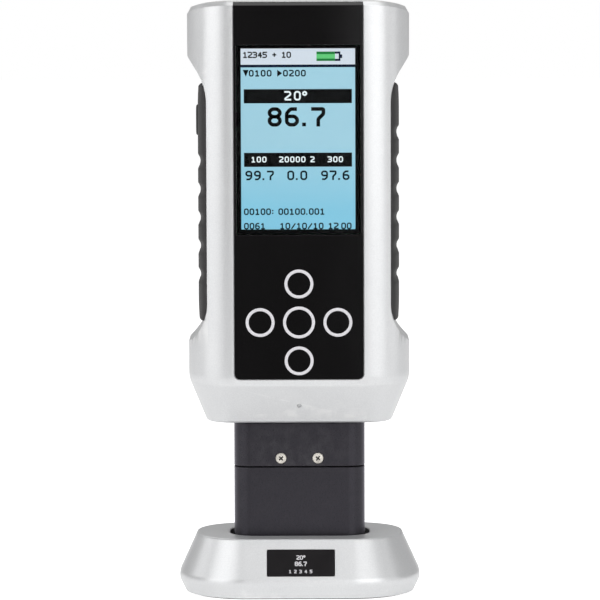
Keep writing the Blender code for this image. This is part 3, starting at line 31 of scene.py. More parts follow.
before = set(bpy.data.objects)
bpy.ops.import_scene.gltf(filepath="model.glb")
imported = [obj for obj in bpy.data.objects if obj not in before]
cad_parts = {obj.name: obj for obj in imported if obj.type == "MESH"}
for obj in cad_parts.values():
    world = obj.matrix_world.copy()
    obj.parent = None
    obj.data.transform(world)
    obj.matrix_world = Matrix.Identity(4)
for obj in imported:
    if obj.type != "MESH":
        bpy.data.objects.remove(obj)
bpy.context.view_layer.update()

# Housing
BODY_TOP = 199.0
BODY_BOTTOM = 58.2
BODY_HALF = 37.0
FACE = 23.0
FLAT = 22.3
SIDE_FLAT = 8.0
CHIN_SIDE_FLAT = 4.5
TOP_DROP = 3.2
TOP_CHAMFER = 1.3
WALL = 2.4
OUTSIDE = 60                        # clear of the object on every side
ABOVE = 210                         # clear of its top
FACE_WALL = 3.0
CHIN_CREASE = 73.3
WAIST_HALF = 30.6
SHOULDER = 181.0
WAIST_TOP = 171.3
WAIST_FOOT = 90.78
HIP = 85.5
SPLIT = 4.0
SEAM_GAP = 0.06                     # open line that shows between two housing pieces

# Panel, display and keys
PANEL_HALF = 21.4
PANEL_FOOT = 73.8
PANEL_RADIUS = 1.8
PANEL_BACK = -21.8
DISPLAY_HALF = 20.6
DISPLAY_TOP = 184.7
DISPLAY_FOOT = 121.9
DISPLAY_RADIUS = 0.6
SCREEN = -21.5                      # face of the display module
KEY_CENTRE = 92.8
KEY_PITCH_X = 12.9
KEY_PITCH_Z = 12.8
KEY_RADIUS = 4.8
CENTRE_KEY_RADIUS = 5.3
KEY_STROKE = 1.0
KEY_RISE = 0.035

# Head and base
HEAD_WIDTH = 44.0
HEAD_DEPTH = 22.0
HEAD_RADIUS = 5.7
HEAD_FOOT = 8.6
BLOCK_FOOT = 43.15
BLOCK_TOP = 57.9
NECK = (38.0, 16.0, 2.0)            # width, depth and corner radius
MEASURED_SPOT = 8.3                 # height of the tile's face
OPTICS_TILT = math.radians(20.0)
HEAD_SCREW_X = 6.2
HEAD_SCREW_Z = 45.9
HEAD_SCREW_TIP = 5.3
BASE_WIDTH = 81.7
BASE_DEPTH = 53.0
BASE_RADIUS = 23.2
BASE_HEIGHT = 19.9
BASE_CREASE = 5.7
BASE_SETBACK = 6.3
BASE_ROOF = 17.5
BASE_INSIDE = 20.8                  # corner radius of the hollow at the crease
WELL = (47.0, 25.0, 9.3)            # width, depth and corner radius
LABEL_WIDTH = 22.6
LABEL_HEIGHT = 9.2
LABEL_DROP = 8.3                    # middle of the label below the edge of the slope

# Grips
GRIP_FACE = 33.6
GRIP_END = 1.8
RIPPLE_BASE = 108.2
RIPPLE_PITCH = 9.48
RIPPLE_UPPER = 2.1
RIPPLE_LOWER = 2.7
BUTTON_CENTRE = 159.3
BUTTON = (9.0, 10.3, 3.2)           # width, height and corner radius
CASE_SCREW_X = 24.0
CASE_SCREW_LEVELS = (79.0, 188.4)
CASE_SCREW_TIP = -4.2


# Mesh helpers

def metres(*place):
    """A place in metres, from millimetres."""
    return [part * MM for part in place]


def shift(*place):
    """Translation to a place in millimetres."""
    return Matrix.Translation(metres(*place))


def add_row(shape, points):
    """Vertices at points in millimetres."""
    return [shape.verts.new(metres(*point)) for point in points]


def finish_mesh(name, shape, look=None, angle=SMOOTH_ANGLE):
    """Object from a bmesh, faces out and round faces smooth."""
    bmesh.ops.recalc_face_normals(shape, faces=shape.faces[:])
    mesh = bpy.data.meshes.new(name)
    shape.to_mesh(mesh)
    shape.free()
    mesh.shade_smooth()
    mesh.set_sharp_from_angle(angle=angle)
    made = bpy.data.objects.new(name, mesh)
    bpy.context.scene.collection.objects.link(made)
    if look is not None:
        mesh.materials.append(look)
    return made


def bridge(shape, rows, around=False):
    """Faces between rows of points, each equally long or one point, and back to the first row."""
    pairs = list(zip(rows, rows[1:]))
    if around:
        pairs.append((rows[-1], rows[0]))
    for low, high in pairs:
        count = max(len(low), len(high))
        for index in range(count):
            after = (index + 1) % count
            corners = [low[index % len(low)], low[after % len(low)]]
            corners += [high[after % len(high)], high[index % len(high)]]
            shape.faces.new(list(dict.fromkeys(corners)))


def loft(name, rings, look=None):
    """Solid through rings that have the same number of points."""
    shape = bmesh.new()
    rows = [add_row(shape, ring) for ring in rings]
    bridge(shape, rows)
    shape.faces.new(rows[0])
    shape.faces.new(rows[-1])
    return finish_mesh(name, shape, look)


def stack(name, levels, look=None):
    """Solid through plan outlines, each with its height."""
    return loft(name, [[(x, y, height) for x, y in outline] for outline, height in levels], look)


def upright(name, levels, look=None):
    """Solid through outlines in X and Z, each with its depth along Y."""
    return loft(name, [[(x, depth, z) for x, z in outline] for outline, depth in levels], look)


def sideways(name, levels, look=None):
    """Solid through outlines in Y and Z, each with its place along X."""
    return loft(name, [[(place, y, z) for y, z in outline] for outline, place in levels], look)


def box(name, low, high, look=None):
    """Box between two corners."""
    outline = [(low[0], low[1]), (high[0], low[1]), (high[0], high[1]), (low[0], high[1])]
    return stack(name, [(outline, low[2]), (outline, high[2])], look)


def turned(name, profile, segments=48, look=None):
    """Solid turned about Z from a profile of (radius, height)."""
    shape = bmesh.new()
    angles = [2.0 * math.pi * index / segments for index in range(segments)]
    rows = []
    for radius, height in profile:
        around = angles if radius else [0.0]
        rows.append(add_row(shape, [(radius * math.cos(angle), radius * math.sin(angle), height)
                                    for angle in around]))
    bridge(shape, rows)
    return finish_mesh(name, shape, look)


def quarter_turn(steps):
    """Sines and cosines of the angles of a quarter turn."""
    angles = [math.pi / 2 * step / steps for step in range(steps + 1)]
    return [(math.sin(angle), math.cos(angle)) for angle in angles]


def corner_arc(x, y, radius, start, steps):
    """Quarter circle about a centre, from a start angle in degrees."""
    angles = [math.radians(start + 90.0 * step / steps) for step in range(steps + 1)]
    return [(x + radius * math.cos(angle), y + radius * math.sin(angle)) for angle in angles]


def rounded_rectangle(width, depth, radius, steps=12):
    """Outline with round corners, counter-clockwise."""
    points = []
    for side_x, side_y, start in ((1, 1, 0.0), (-1, 1, 90.0), (-1, -1, 180.0), (1, -1, 270.0)):
        points += corner_arc(side_x * (width / 2 - radius), side_y * (depth / 2 - radius),
                             radius, start, steps)
    return points


def grown(size, amount=0.0, steps=12):
    """Outline of a (width, depth, corner radius), grown by an amount on all sides."""
    width, depth, radius = size
    return rounded_rectangle(width + 2 * amount, depth + 2 * amount, radius + amount, steps)


def rectangle_between(half, foot, top, radius, steps=8):
    """Round-cornered outline in X and Z between two heights."""
    outline = rounded_rectangle(2 * half, top - foot, radius, steps)
    return [(x, z + (foot + top) / 2) for x, z in outline]


def filleted(corners, steps=8):
    """Path through (x, z, radius) corners, each rounded by its own radius."""
    path = []
    for index, (x, z, radius) in enumerate(corners):
        here = Vector((x, z))
        if index in (0, len(corners) - 1):
            path.append(here)
            continue
        before = (Vector(corners[index - 1][:2]) - here).normalized()
        after = (Vector(corners[index + 1][:2]) - here).normalized()
        half_turn = (math.pi - before.angle(after)) / 2
        start = here + before * radius * math.tan(half_turn)
        centre = here + (before + after).normalized() * radius / math.cos(half_turn)
        spoke = start - centre
        sign = 1.0 if before.x * after.y - before.y * after.x < 0.0 else -1.0
        for step in range(steps + 1):
            angle = sign * 2.0 * half_turn * step / steps
            path.append(centre + Vector((spoke.x * math.cos(angle) - spoke.y * math.sin(angle),
                                         spoke.x * math.sin(angle) + spoke.y * math.cos(angle))))
    return path


def combine(target, operation, *tools):
    """Apply a Boolean with each tool, and remove the tools."""
    for tool in tools:
        step = target.modifiers.new(tool.name, "BOOLEAN")
        step.operation = operation
        step.object = tool
        step.solver = "EXACT"
        step.material_mode = "TRANSFER"
    settle(target)
    for tool in tools:
        bpy.data.objects.remove(tool, do_unlink=True)


def settle(target):
    """Turn a piece's modifiers into its mesh."""
    bpy.context.view_layer.update()
    graph = bpy.context.evaluated_depsgraph_get()
    mesh = bpy.data.meshes.new_from_object(target.evaluated_get(graph))
    target.modifiers.clear()
    target.data = mesh
    mesh.name = target.name


def soften(target, width, segments=2, angle=40.0):
    """Break a piece's sharp edges, and keep its large faces flat in shading."""
    bevel = target.modifiers.new("edges", "BEVEL")
    bevel.width = width * MM
    bevel.segments = segments
    bevel.limit_method = "ANGLE"
    bevel.angle_limit = math.radians(angle)
    bevel.miter_outer = "MITER_ARC"
    bevel.use_clamp_overlap = True
    settle(target)
    target.data.shade_smooth()
    target.data.set_sharp_from_angle(angle=SMOOTH_ANGLE)
    even = target.modifiers.new("normals", "WEIGHTED_NORMAL")
    even.keep_sharp = True
    even.weight = 80
    settle(target)


# Materials

class Nodes:
    """A node tree under construction."""

    def __init__(self, tree):
        self.tree = tree

    def node(self, kind, **settings):
        made = self.tree.nodes.new(kind)
        for key, value in settings.items():
            if hasattr(made, key):
                setattr(made, key, value)
            else:
                made.inputs[key.replace("_", " ")].default_value = value
        return made

    def join(self, value, socket):
        """Link an output to a socket, or set the socket to a number or a colour."""
        if isinstance(value, (int, float)):
            socket.default_value = value
        elif isinstance(value, tuple):
            socket.default_value = (*value, 1.0)
        else:
            self.tree.links.new(value, socket)

    def math(self, operation, first, second):
        made = self.node("ShaderNodeMath", operation=operation)
        self.join(first, made.inputs[0])
        self.join(second, made.inputs[1])
        return made.outputs[0]

    def spread(self, value, low, high, start=0.3, end=0.7):
        """Value mapped from start..end to low..high."""
        made = self.node("ShaderNodeMapRange", From_Min=start, From_Max=end, To_Min=low, To_Max=high)
        self.join(value, made.inputs["Value"])
        return made.outputs["Result"]


class Look(Nodes):
    """A node material under construction, with settings of its shader."""

    def __init__(self, name, **settings):
        self.material = bpy.data.materials.new(name)
        self.material.use_nodes = True
        super().__init__(self.material.node_tree)
        self.shader = self.tree.nodes["Principled BSDF"]
        for key, value in settings.items():
            self.shader.inputs[key.replace("_", " ")].default_value = value
        self.place = self.node("ShaderNodeTexCoord").outputs["Object"]

    def noise(self, scale, detail=2.0, roughness=0.5, stretch=None):
        """Noise over the object, in features of about 1/scale metres."""
        made = self.node("ShaderNodeTexNoise", Scale=scale, Detail=detail, Roughness=roughness)
        place = self.place
        if stretch is not None:
            mapping = self.node("ShaderNodeMapping")
            mapping.inputs["Scale"].default_value = stretch
            self.join(place, mapping.inputs["Vector"])
            place = mapping.outputs["Vector"]
        self.join(place, made.inputs["Vector"])
        return made.outputs["Fac"]

    def ramp(self, value, stops):
        """Colour from a value, through stops of (place, colour)."""
        made = self.node("ShaderNodeValToRGB")
        band = made.color_ramp
        while len(band.elements) < len(stops):
            band.elements.new(0.5)
        for element, (place, colour) in zip(band.elements, stops):
            element.position = place
            element.color = (*colour, 1.0)
        self.join(value, made.inputs["Fac"])
        return made.outputs["Color"]

    def mix(self, factor, first, second, blend="MIX"):
        """Blend of two colours, each an output or a colour."""
        made = self.node("ShaderNodeMix", data_type="RGBA", blend_type=blend)
        for value, index in ((factor, 0), (first, 6), (second, 7)):
            self.join(value, made.inputs[index])
        return made.outputs[2]

    def relief(self, value, strength, distance, under=None):
        """Bump from a value, over another bump."""
        made = self.node("ShaderNodeBump", Strength=strength, Distance=distance)
        self.join(value, made.inputs["Height"])
        if under is not None:
            self.join(under, made.inputs["Normal"])
        return made.outputs["Normal"]

    def shade(self, value, first, second):
        """Colour from a noise, from first at 0.3 to second at 0.7."""
        return self.ramp(value, [(0.3, first), (0.7, second)])

    def done(self, colour, rough=None, normal=None):
        """Join what is given to the shader, and return the material."""
        for value, key in ((colour, "Base Color"), (rough, "Roughness"), (normal, "Normal")):
            if value is not None:
                self.join(value, self.shader.inputs[key])
        return self.material


def worn(look, amount=0.5):
    """0 on faces, up to amount on rubbed edges, broken up by noise."""
    edge = look.spread(look.node("ShaderNodeNewGeometry").outputs["Pointiness"], 0.0, amount, 0.52, 0.62)
    patch = look.spread(look.noise(260.0, 4.0), 0.0, 1.0, 0.42, 0.62)
    return look.math("MULTIPLY", edge, patch)


def silver_look():
    """Satin metallic paint: fine flakes, soft mottling, slight rub on edges."""
    look = Look("silver_paint", Metallic=0.55, IOR=1.5)
    flakes = look.noise(2700.0, 2.5, 0.6)
    cloud = look.noise(90.0, 3.0)
    base = look.shade(flakes, (0.565, 0.57, 0.578), (0.635, 0.64, 0.645))
    tone = look.shade(cloud, (0.975, 0.975, 0.978), (1.0, 1.0, 1.0))
    body = look.mix(1.0, base, tone, "MULTIPLY")
    return look.done(look.mix(worn(look, 0.35), body, (0.78, 0.78, 0.77)),
                     look.spread(flakes, 0.33, 0.40),
                     look.relief(flakes, 0.07, 0.00002))


def anodised_look():
    """Black anodised aluminium with a fine drawn grain."""
    look = Look("black_anodised", Metallic=0.35, IOR=1.45, Specular_Tint=(0.88, 0.84, 1.0, 1.0))
    grain = look.noise(900.0, 3.0, stretch=(6.0, 6.0, 1.0))
    fine = look.noise(4200.0, 2.0)
    base = look.shade(grain, (0.014, 0.0134, 0.0156), (0.0208, 0.0194, 0.0224))
    return look.done(look.mix(worn(look, 0.4), base, (0.16, 0.16, 0.165)),
                     look.spread(fine, 0.26, 0.36),
                     look.relief(fine, 0.10, 0.00002))


def rubber_look():
    """Moulded rubber: dull, finely grained, a little dusty in patches."""
    look = Look("grip_rubber", IOR=1.45, Specular_IOR_Level=0.3)
    grain = look.noise(3600.0, 3.0)
    dust = look.noise(140.0, 4.0)
    base = look.shade(grain, (0.023, 0.022, 0.023), (0.033, 0.032, 0.032))
    return look.done(look.mix(look.spread(dust, 0.0, 0.25, 0.5, 0.75), base, (0.060, 0.058, 0.056)),
                     look.spread(grain, 0.52, 0.68),
                     look.relief(grain, 0.25, 0.00004))


def gloss_look():
    """Black gloss panel with faint wipe marks in its polish."""
    look = Look("black_gloss", IOR=1.45)
    wipe = look.noise(38.0, 5.0, stretch=(1.0, 1.0, 0.35))
    return look.done(look.shade(wipe, (0.0018, 0.0016, 0.0018), (0.0030, 0.0027, 0.0030)),
                     look.spread(wipe, 0.05, 0.11, 0.35, 0.7),
                     look.relief(look.noise(1600.0, 2.0), 0.02, 0.00001))


def steel_look(name="steel", colour=(0.62, 0.61, 0.60), rough=(0.26, 0.40)):
    """Turned steel with a fine grain and a few darker spots."""
    look = Look(name, Metallic=1.0)
    grain = look.noise(2600.0, 3.0)
    spots = look.noise(700.0, 3.0)
    dark = tuple(part * 0.72 for part in colour)
    return look.done(look.ramp(spots, [(0.35, dark), (0.6, colour)]),
                     look.spread(grain, *rough),
                     look.relief(grain, 0.15, 0.00002))


def clear_look(name="clear", rough=0.02, ior=1.47):
    """Clear moulded plastic or glass with faint haze in its polish."""
    look = Look(name, Transmission_Weight=1.0, IOR=ior, Base_Color=(0.97, 0.985, 0.98, 1.0))
    return look.done(None,
                     look.spread(look.noise(120.0, 4.0), rough * 0.5, rough * 2.0),
                     look.relief(look.noise(400.0, 2.0), 0.01, 0.00001))


def plastic_look(name, colour, rough, grain_scale=2400.0, depth=0.00002, sheen=0.5):
    """Moulded or printed plastic with a fine grain and slight mottling."""
    look = Look(name, IOR=1.47, Specular_IOR_Level=sheen)
    grain = look.noise(grain_scale, 3.0)
    cloud = look.noise(grain_scale / 16.0, 3.0)
    light = tuple(min(part * 1.12 + 0.002, 1.0) for part in colour)
    dark = tuple(part * 0.88 for part in colour)
    return look.done(look.shade(cloud, dark, light),
                     look.spread(grain, rough - 0.06, rough + 0.06),
                     look.relief(grain, 0.2, depth))


def foam_look():
    """Closed-cell foam."""
    look = Look("seat_foam", IOR=1.4)
    cells = look.node("ShaderNodeTexVoronoi", Scale=2600.0)
    look.join(look.place, cells.inputs["Vector"])
    reach = cells.outputs["Distance"]
    return look.done(look.ramp(reach, [(0.1, (0.03, 0.03, 0.03)), (0.6, (0.08, 0.08, 0.08))]),
                     look.spread(reach, 0.8, 0.95),
                     look.relief(reach, 0.6, 0.0001))


def board_look():
    """Green solder mask over copper tracks, with pale pads."""
    look = Look("circuit_board", IOR=1.5)
    tracks = look.node("ShaderNodeTexBrick", Scale=180.0, Mortar_Size=0.06, Bias=0.2)
    look.join(look.place, tracks.inputs["Vector"])
    pads = look.node("ShaderNodeTexVoronoi", Scale=420.0)
    look.join(look.place, pads.inputs["Vector"])
    mask = look.ramp(tracks.outputs["Fac"], [(0.0, (0.012, 0.12, 0.05)), (1.0, (0.03, 0.22, 0.09))])
    pad = look.spread(pads.outputs["Distance"], 1.0, 0.0, 0.10, 0.13)
    return look.done(look.mix(pad, mask, (0.55, 0.50, 0.38)),
                     look.spread(look.noise(1500.0), 0.32, 0.48),
                     look.relief(tracks.outputs["Fac"], 0.3, 0.00003))


def wrap_look():
    """Shrink wrap of the battery, with creases."""
    look = Look("battery_wrap", IOR=1.5)
    crease = look.noise(160.0, 5.0, stretch=(1.0, 1.0, 0.4))
    return look.done(look.ramp(crease, [(0.35, (0.03, 0.08, 0.22)), (0.65, (0.06, 0.15, 0.36))]),
                     look.spread(crease, 0.28, 0.45),
                     look.relief(crease, 0.35, 0.0002))


def lit_look(name, top, foot):
    """Lit display: light that falls off from the top to the foot, slightly uneven."""
    look = Look(name, Base_Color=(0.01, 0.01, 0.01, 1.0), Roughness=0.3, Emission_Strength=1.0)
    parts = look.node("ShaderNodeSeparateXYZ")
    look.join(look.place, parts.inputs["Vector"])
    rise = look.spread(parts.outputs["Z"], 0.0, 1.0, 123.4 * MM, SCREEN_TOP * MM)
    shade = look.ramp(rise, [(0.1, foot), (0.48, top)])
    patch = look.shade(look.noise(40.0, 2.0), (0.96, 0.96, 0.97), (1.0, 1.0, 1.0))
    veil = look.mix(1.0, shade, patch, "MULTIPLY")
    look.join(veil, look.shader.inputs["Emission Color"])
    return look.material


def ink_look(name, colour, glow=None):
    """Ink or dark display cells, with a slightly uneven film."""
    look = Look(name, IOR=1.45, Specular_IOR_Level=0.1)
    film = look.noise(1400.0, 3.0)
    light = tuple(min(part * 1.06 + 0.002, 1.0) for part in colour)
    dark = tuple(part * 0.94 for part in colour)
    if glow is not None:
        dim = tuple(part * 0.96 for part in glow)
        look.join(look.shade(film, dim, glow), look.shader.inputs["Emission Color"])
        look.shader.inputs["Emission Strength"].default_value = 1.0
    return look.done(look.shade(film, dark, light), look.spread(film, 0.38, 0.5))


# Housing

def section(half, front, rear, side_flat, steps=22):
    """Plan section: flat face and back, elliptic corners, flat sides."""
    quarter = [(FLAT + (half - FLAT) * sine, cosine) for sine, cosine in quarter_turn(steps)]
    right = [(x, -side_flat - (front - side_flat) * cosine) for x, cosine in quarter]
    right += [(x, side_flat + (rear - side_flat) * cosine) for x, cosine in reversed(quarter)]
    left = [(-x, side_flat + (rear - side_flat) * cosine) for x, cosine in quarter]
    left += [(-x, -side_flat - (front - side_flat) * cosine) for x, cosine in reversed(quarter)]
    return right + left


def top_height(x):
    """Height of the top, which falls along a quarter ellipse towards each side."""
    share = max(abs(x) - FLAT, 0.0) / (BODY_HALF - FLAT)
    return BODY_TOP - TOP_DROP * (1.0 - math.sqrt(max(1.0 - share * share, 0.0)))


def chin_paths(inset, face_inset):
    """Side and face profiles from the straight walls down to the underside."""
    sides = [(BODY_HALF, BODY_TOP, 0.0), (BODY_HALF, CHIN_CREASE, 10.0),
             (31.0, BODY_BOTTOM, 1.6), (28.8, BODY_BOTTOM, 0.0)]
    faces = [(FACE, BODY_TOP, 0.0), (FACE, CHIN_CREASE, 3.0),
             (14.0, BODY_BOTTOM, 1.6), (11.8, BODY_BOTTOM, 0.0)]
    return [filleted(inner(corners, amount), 10) for corners, amount in
            ((sides, inset), (faces, face_inset), (faces, inset))]


def with_holds(path):
    """Path with two more points near the ends of its chin slope, which keep that face flat in shading."""
    start, end = path[11], path[12]
    return path[:12] + [start.lerp(end, 0.05), start.lerp(end, 0.95)] + path[12:]


def inner(corners, amount):
    """Corners of a downward path moved inwards."""
    points = [Vector(corner[:2]) for corner in corners]
    moved = []
    for index, point in enumerate(points):
        directions = []
        if index > 0:
            directions.append((point - points[index - 1]).normalized())
        if index < len(points) - 1:
            directions.append((points[index + 1] - point).normalized())
        normals = [Vector((direction.y, -direction.x)) for direction in directions]
        middle = sum(normals, Vector((0.0, 0.0))).normalized()
        shift = middle * amount / middle.dot(normals[0])
        moved.append((point.x + shift.x, point.y + shift.y, max(corners[index][2] - amount, 0.3)))
    return moved


def skin(name, inset, face_inset, roof, chamfer, look=None):
    """Closed housing of full width, before its sides are scooped out for the grips."""
    half = BODY_HALF - inset
    front = FACE - face_inset
    rear = FACE - inset
    rings = []
    if chamfer > 0.0:
        rim = section(half - chamfer, front - chamfer, rear - chamfer, SIDE_FLAT)
        rings.append([(x, y, top_height(x) - roof) for x, y in rim])
    edge = section(half, front, rear, SIDE_FLAT)
    rings.append([(x, y, top_height(x) - roof - chamfer) for x, y in edge])
    for level in (SHOULDER + 1.5, HIP - 1.5):
        rings.append([(x, y, level) for x, y in edge])
    sides, faces, backs = [with_holds(path) for path in chin_paths(inset, face_inset)]
    for index in range(1, len(sides)):
        height = sides[index].y
        share = min(max((CHIN_CREASE - height) / (CHIN_CREASE - BODY_BOTTOM), 0.0), 1.0)
        side_flat = SIDE_FLAT * (1.0 - share) + CHIN_SIDE_FLAT * share
        outline = section(sides[index].x, faces[index].x, backs[index].x, side_flat)
        rings.append([(x, y, height) for x, y in outline])
    shape = bmesh.new()
    rows = [add_row(shape, ring) for ring in rings]
    bridge(shape, rows[::-1])
    shape.faces.new(rows[-1])
    row = rows[0]
    steps = len(row) // 4 - 1
    last = 4 * steps + 3
    shape.faces.new((row[last], row[0], row[2 * steps + 1], row[2 * steps + 2]))
    for step in range(steps):
        shape.faces.new((row[step], row[step + 1], row[2 * steps - step], row[2 * steps + 1 - step]))
        shape.faces.new((row[last - step - 1], row[last - step], row[2 * steps + 2 + step],
                         row[2 * steps + 3 + step]))
    return finish_mesh(name, shape, look)


def waist_path(inset=0.0):
    """Side profile of the scooped waist, from the top down, moved inwards by inset."""
    lean = 0.5
    corners = [(BODY_HALF + lean, SHOULDER + 14, 0.0), (BODY_HALF, SHOULDER, 1.6),
               (WAIST_HALF, WAIST_TOP, 20.0), (WAIST_HALF, WAIST_FOOT, 16.5),
               (BODY_HALF, HIP, 0.8), (BODY_HALF + lean, HIP - 9, 0.0)]
    return [(x - inset, z) for x, z in filleted(corners, 16)]


def scoop(name, side, inset=0.0):
    """Cutter for the waist on one side."""
    path = waist_path(inset)
    outline = path + [(OUTSIDE, path[-1][1]), (OUTSIDE, path[0][1])]
    rings = [[(side * x, depth, z) for x, z in outline] for depth in (-40, 40)]
    return loft(name, rings)


def cylinder(name, radius, foot, top, segments=40):
    """Plain round cutter along Z."""
    return turned(name, [(0.0, foot), (radius, foot), (radius, top), (0.0, top)], segments)


def panel_outline(half, foot, top, radius, steps=8):
    """Outline in X and Z: square at the top, round corners at the foot."""
    points = [(half, top), (-half, top)]
    for side, start in ((-1, 180.0), (1, 270.0)):
        points += corner_arc(side * (half - radius), foot + radius, radius, start, steps)
    return points


def make_shells(look):
    """Front and rear halves of the housing, hollow, with their openings."""
    for word, low, high in (("front", -OUTSIDE, SPLIT - SEAM_GAP), ("rear", SPLIT + SEAM_GAP, OUTSIDE)):
        shell = skin(f"{word}_shell_painted", 0.0, 0.0, 0.0, TOP_CHAMFER, look)
        combine(shell, "DIFFERENCE", scoop("left_scoop", -1), scoop("right_scoop", 1))
        keep = box("keep_half", (-OUTSIDE, low, 0.0), (OUTSIDE, high, 250))
        combine(shell, "INTERSECT", keep)
        hollow = skin("hollow", WALL, FACE_WALL, WALL, 0.0)
        combine(hollow, "DIFFERENCE", scoop("left_inner", -1, WALL), scoop("right_inner", 1, WALL))
        neck = grown(NECK, GAP)
        tools = [hollow, stack("neck", [(neck, 50), (neck, 62)])]
        if word == "front":
            plain, flared = [panel_outline(PANEL_HALF + grow, PANEL_FOOT - grow, ABOVE, PANEL_RADIUS + grow)
                             for grow in (SEAM_GAP, SEAM_GAP + 1.3)]
            tools.append(upright("pocket", [(plain, SCREEN), (plain, 0.3 - FACE), (flared, -FACE - 1.0)]))
            window = rectangle_between(DISPLAY_HALF, DISPLAY_FOOT, DISPLAY_TOP, DISPLAY_RADIUS)
            tools.append(upright("window", [(window, -22.5), (window, -19.0)]))
            keys = rectangle_between(18.8, 74.0, 111.6, 0.6)
            tools.append(upright("key_window", [(keys, -22.5), (keys, -19.0)]))
            tools.append(box("stem_hole", (-32, -1.85, BUTTON_CENTRE - 2.85),
                             (-27, 1.85, BUTTON_CENTRE + 2.85)))
            tools.append(box("socket_hole", (-4.2, -0.8, 190), (4.2, 2.8, ABOVE)))
            light = cylinder("light_hole", 0.79, -5, 1.0)
            place_status(light)
            tools.append(light)
        else:
            for index, (x, z) in enumerate(case_screw_places()):
                hole = cylinder(f"head_hole_{index}", 2.7, 20.0, 30.0)
                hole.rotation_euler = (-math.pi / 2, 0.0, 0.0)
                hole.location = metres(x, 0.0, z)
                tools.append(hole)
        combine(shell, "DIFFERENCE", *tools)
        soften(shell, 0.16, 2, 50.0)
        dress(shell, f"{word}_shell")


def place_status(piece):
    """Point a piece along Z out of the sloping chin."""
    slope = math.atan2(9.0, 15.1)
    piece.location = metres(0.0, -14.0 - 6.3 * math.tan(slope), BODY_BOTTOM + 6.3)
    piece.rotation_euler = (math.pi / 2 + slope, 0.0, 0.0)


def case_screw_places():
    """Axes of the four case screws as (x, z)."""
    return [(side * CASE_SCREW_X, level) for level in CASE_SCREW_LEVELS for side in (-1, 1)]


def dress(piece, node, body="meter"):
    """A finished piece rides on its body and stands for its node."""
    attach(piece, body)
    if node is not None:
        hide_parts(node)
    return piece


def make_panel(gloss, clear):
    """Gloss panel with a broken edge, and the clear window in it."""
    blank = panel_outline(PANEL_HALF, PANEL_FOOT, BODY_TOP, PANEL_RADIUS)
    panel = upright("gloss_panel", [(blank, PANEL_BACK), (blank, -FACE)], gloss)
    edge = [(-FACE - 1.0, BODY_TOP - TOP_CHAMFER - 1.0), (TOP_CHAMFER - FACE + 1.0, BODY_TOP + 1.0),
            (-FACE - 1.0, BODY_TOP + 1.0)]
    window = rectangle_between(DISPLAY_HALF, DISPLAY_FOOT, DISPLAY_TOP, DISPLAY_RADIUS)
    combine(panel, "DIFFERENCE", sideways("edge", [(edge, -BODY_HALF), (edge, BODY_HALF)]),
            upright("window", [(window, -FACE - 1.0), (window, PANEL_BACK + 1.0)]))
    soften(panel, 0.10, 3, 30.0)
    dress(panel, "front_panel")
    air = 0.03
    pane = rectangle_between(DISPLAY_HALF - air, DISPLAY_FOOT + air, DISPLAY_TOP - air, DISPLAY_RADIUS - air)
    glass = upright("display_window", [(pane, -FACE), (pane, PANEL_BACK)], clear)
    soften(glass, 0.04, 2, 30.0)
    dress(glass, "display_lens")


# Display content and key marks

PIXELS_PER_MM = 3.027               # of the screen, in a 600-pixel picture
ROWS_PER_MM = 181.9 / 60.1          # the same along its height, between its top and foot
MIDDLE_PIXEL = 298.6
TOP_PIXEL = 47.1
SCREEN_TOP = 183.5

GLYPHS = {
    "0": [([(0, 1), (0, 5), (1, 6), (3, 6), (4, 5), (4, 1), (3, 0), (1, 0)], True)],
    "1": [([(0.7, 5), (2, 6), (2, 0)], False), ([(0.6, 0), (3.4, 0)], False)],
    "2": [([(0, 6), (3.1, 6), (4, 5.1), (4, 3.8), (0, 0.9), (0, 0), (4, 0)], False)],
    "3": [([(0, 6), (3, 6), (4, 5), (4, 4), (3, 3.1), (1.4, 3.1)], False),
          ([(3, 3.1), (4, 2.1), (4, 1), (3, 0), (0, 0)], False)],
    "4": [([(3, 0), (3, 6), (0, 1.9), (4, 1.9)], False)],
    "5": [([(4, 6), (0, 6), (0, 3.4), (3, 3.4), (4, 2.4), (4, 1), (3, 0), (0, 0)], False)],
    "6": [([(3.2, 6), (1.5, 6), (0, 4.4), (0, 1), (1, 0), (3, 0), (4, 1), (4, 2.2), (3, 3.2),
            (0.2, 3.2)], False)],
    "7": [([(0, 6), (4, 6), (4, 4.1), (2, 2.2), (2, 0)], False)],
    "8": [([(0, 5), (1, 6), (3, 6), (4, 5), (4, 4.1), (3, 3.1), (1, 3.1), (0, 4.1)], True),
          ([(0, 2.1), (1, 3.1), (3, 3.1), (4, 2.1), (4, 1), (3, 0), (1, 0), (0, 1)], True)],
    "9": [([(0.8, 0), (2.5, 0), (4, 1.6), (4, 5), (3, 6), (1, 6), (0, 5), (0, 3.8), (1, 2.8),
            (3.8, 2.8)], False)],
    ".": [([(0, 0.1), (0.05, 0.1)], False)],
    ":": [([(0, 1.2), (0.05, 1.2)], False), ([(0, 4.2), (0.05, 4.2)], False)],
    "/": [([(0.2, 0.3), (3.8, 5.4)], False)],
    "+": [([(0.4, 3), (3.6, 3)], False), ([(2, 1.4), (2, 4.6)], False)],
    "*": [([(0, 4.3), (0, 5.2), (0.8, 6), (1.8, 6), (2.6, 5.2), (2.6, 4.3), (1.8, 3.5), (0.8, 3.5)], True)],
}
WIDTHS = {".": 0.85, ":": 0.85, "*": 2.6}


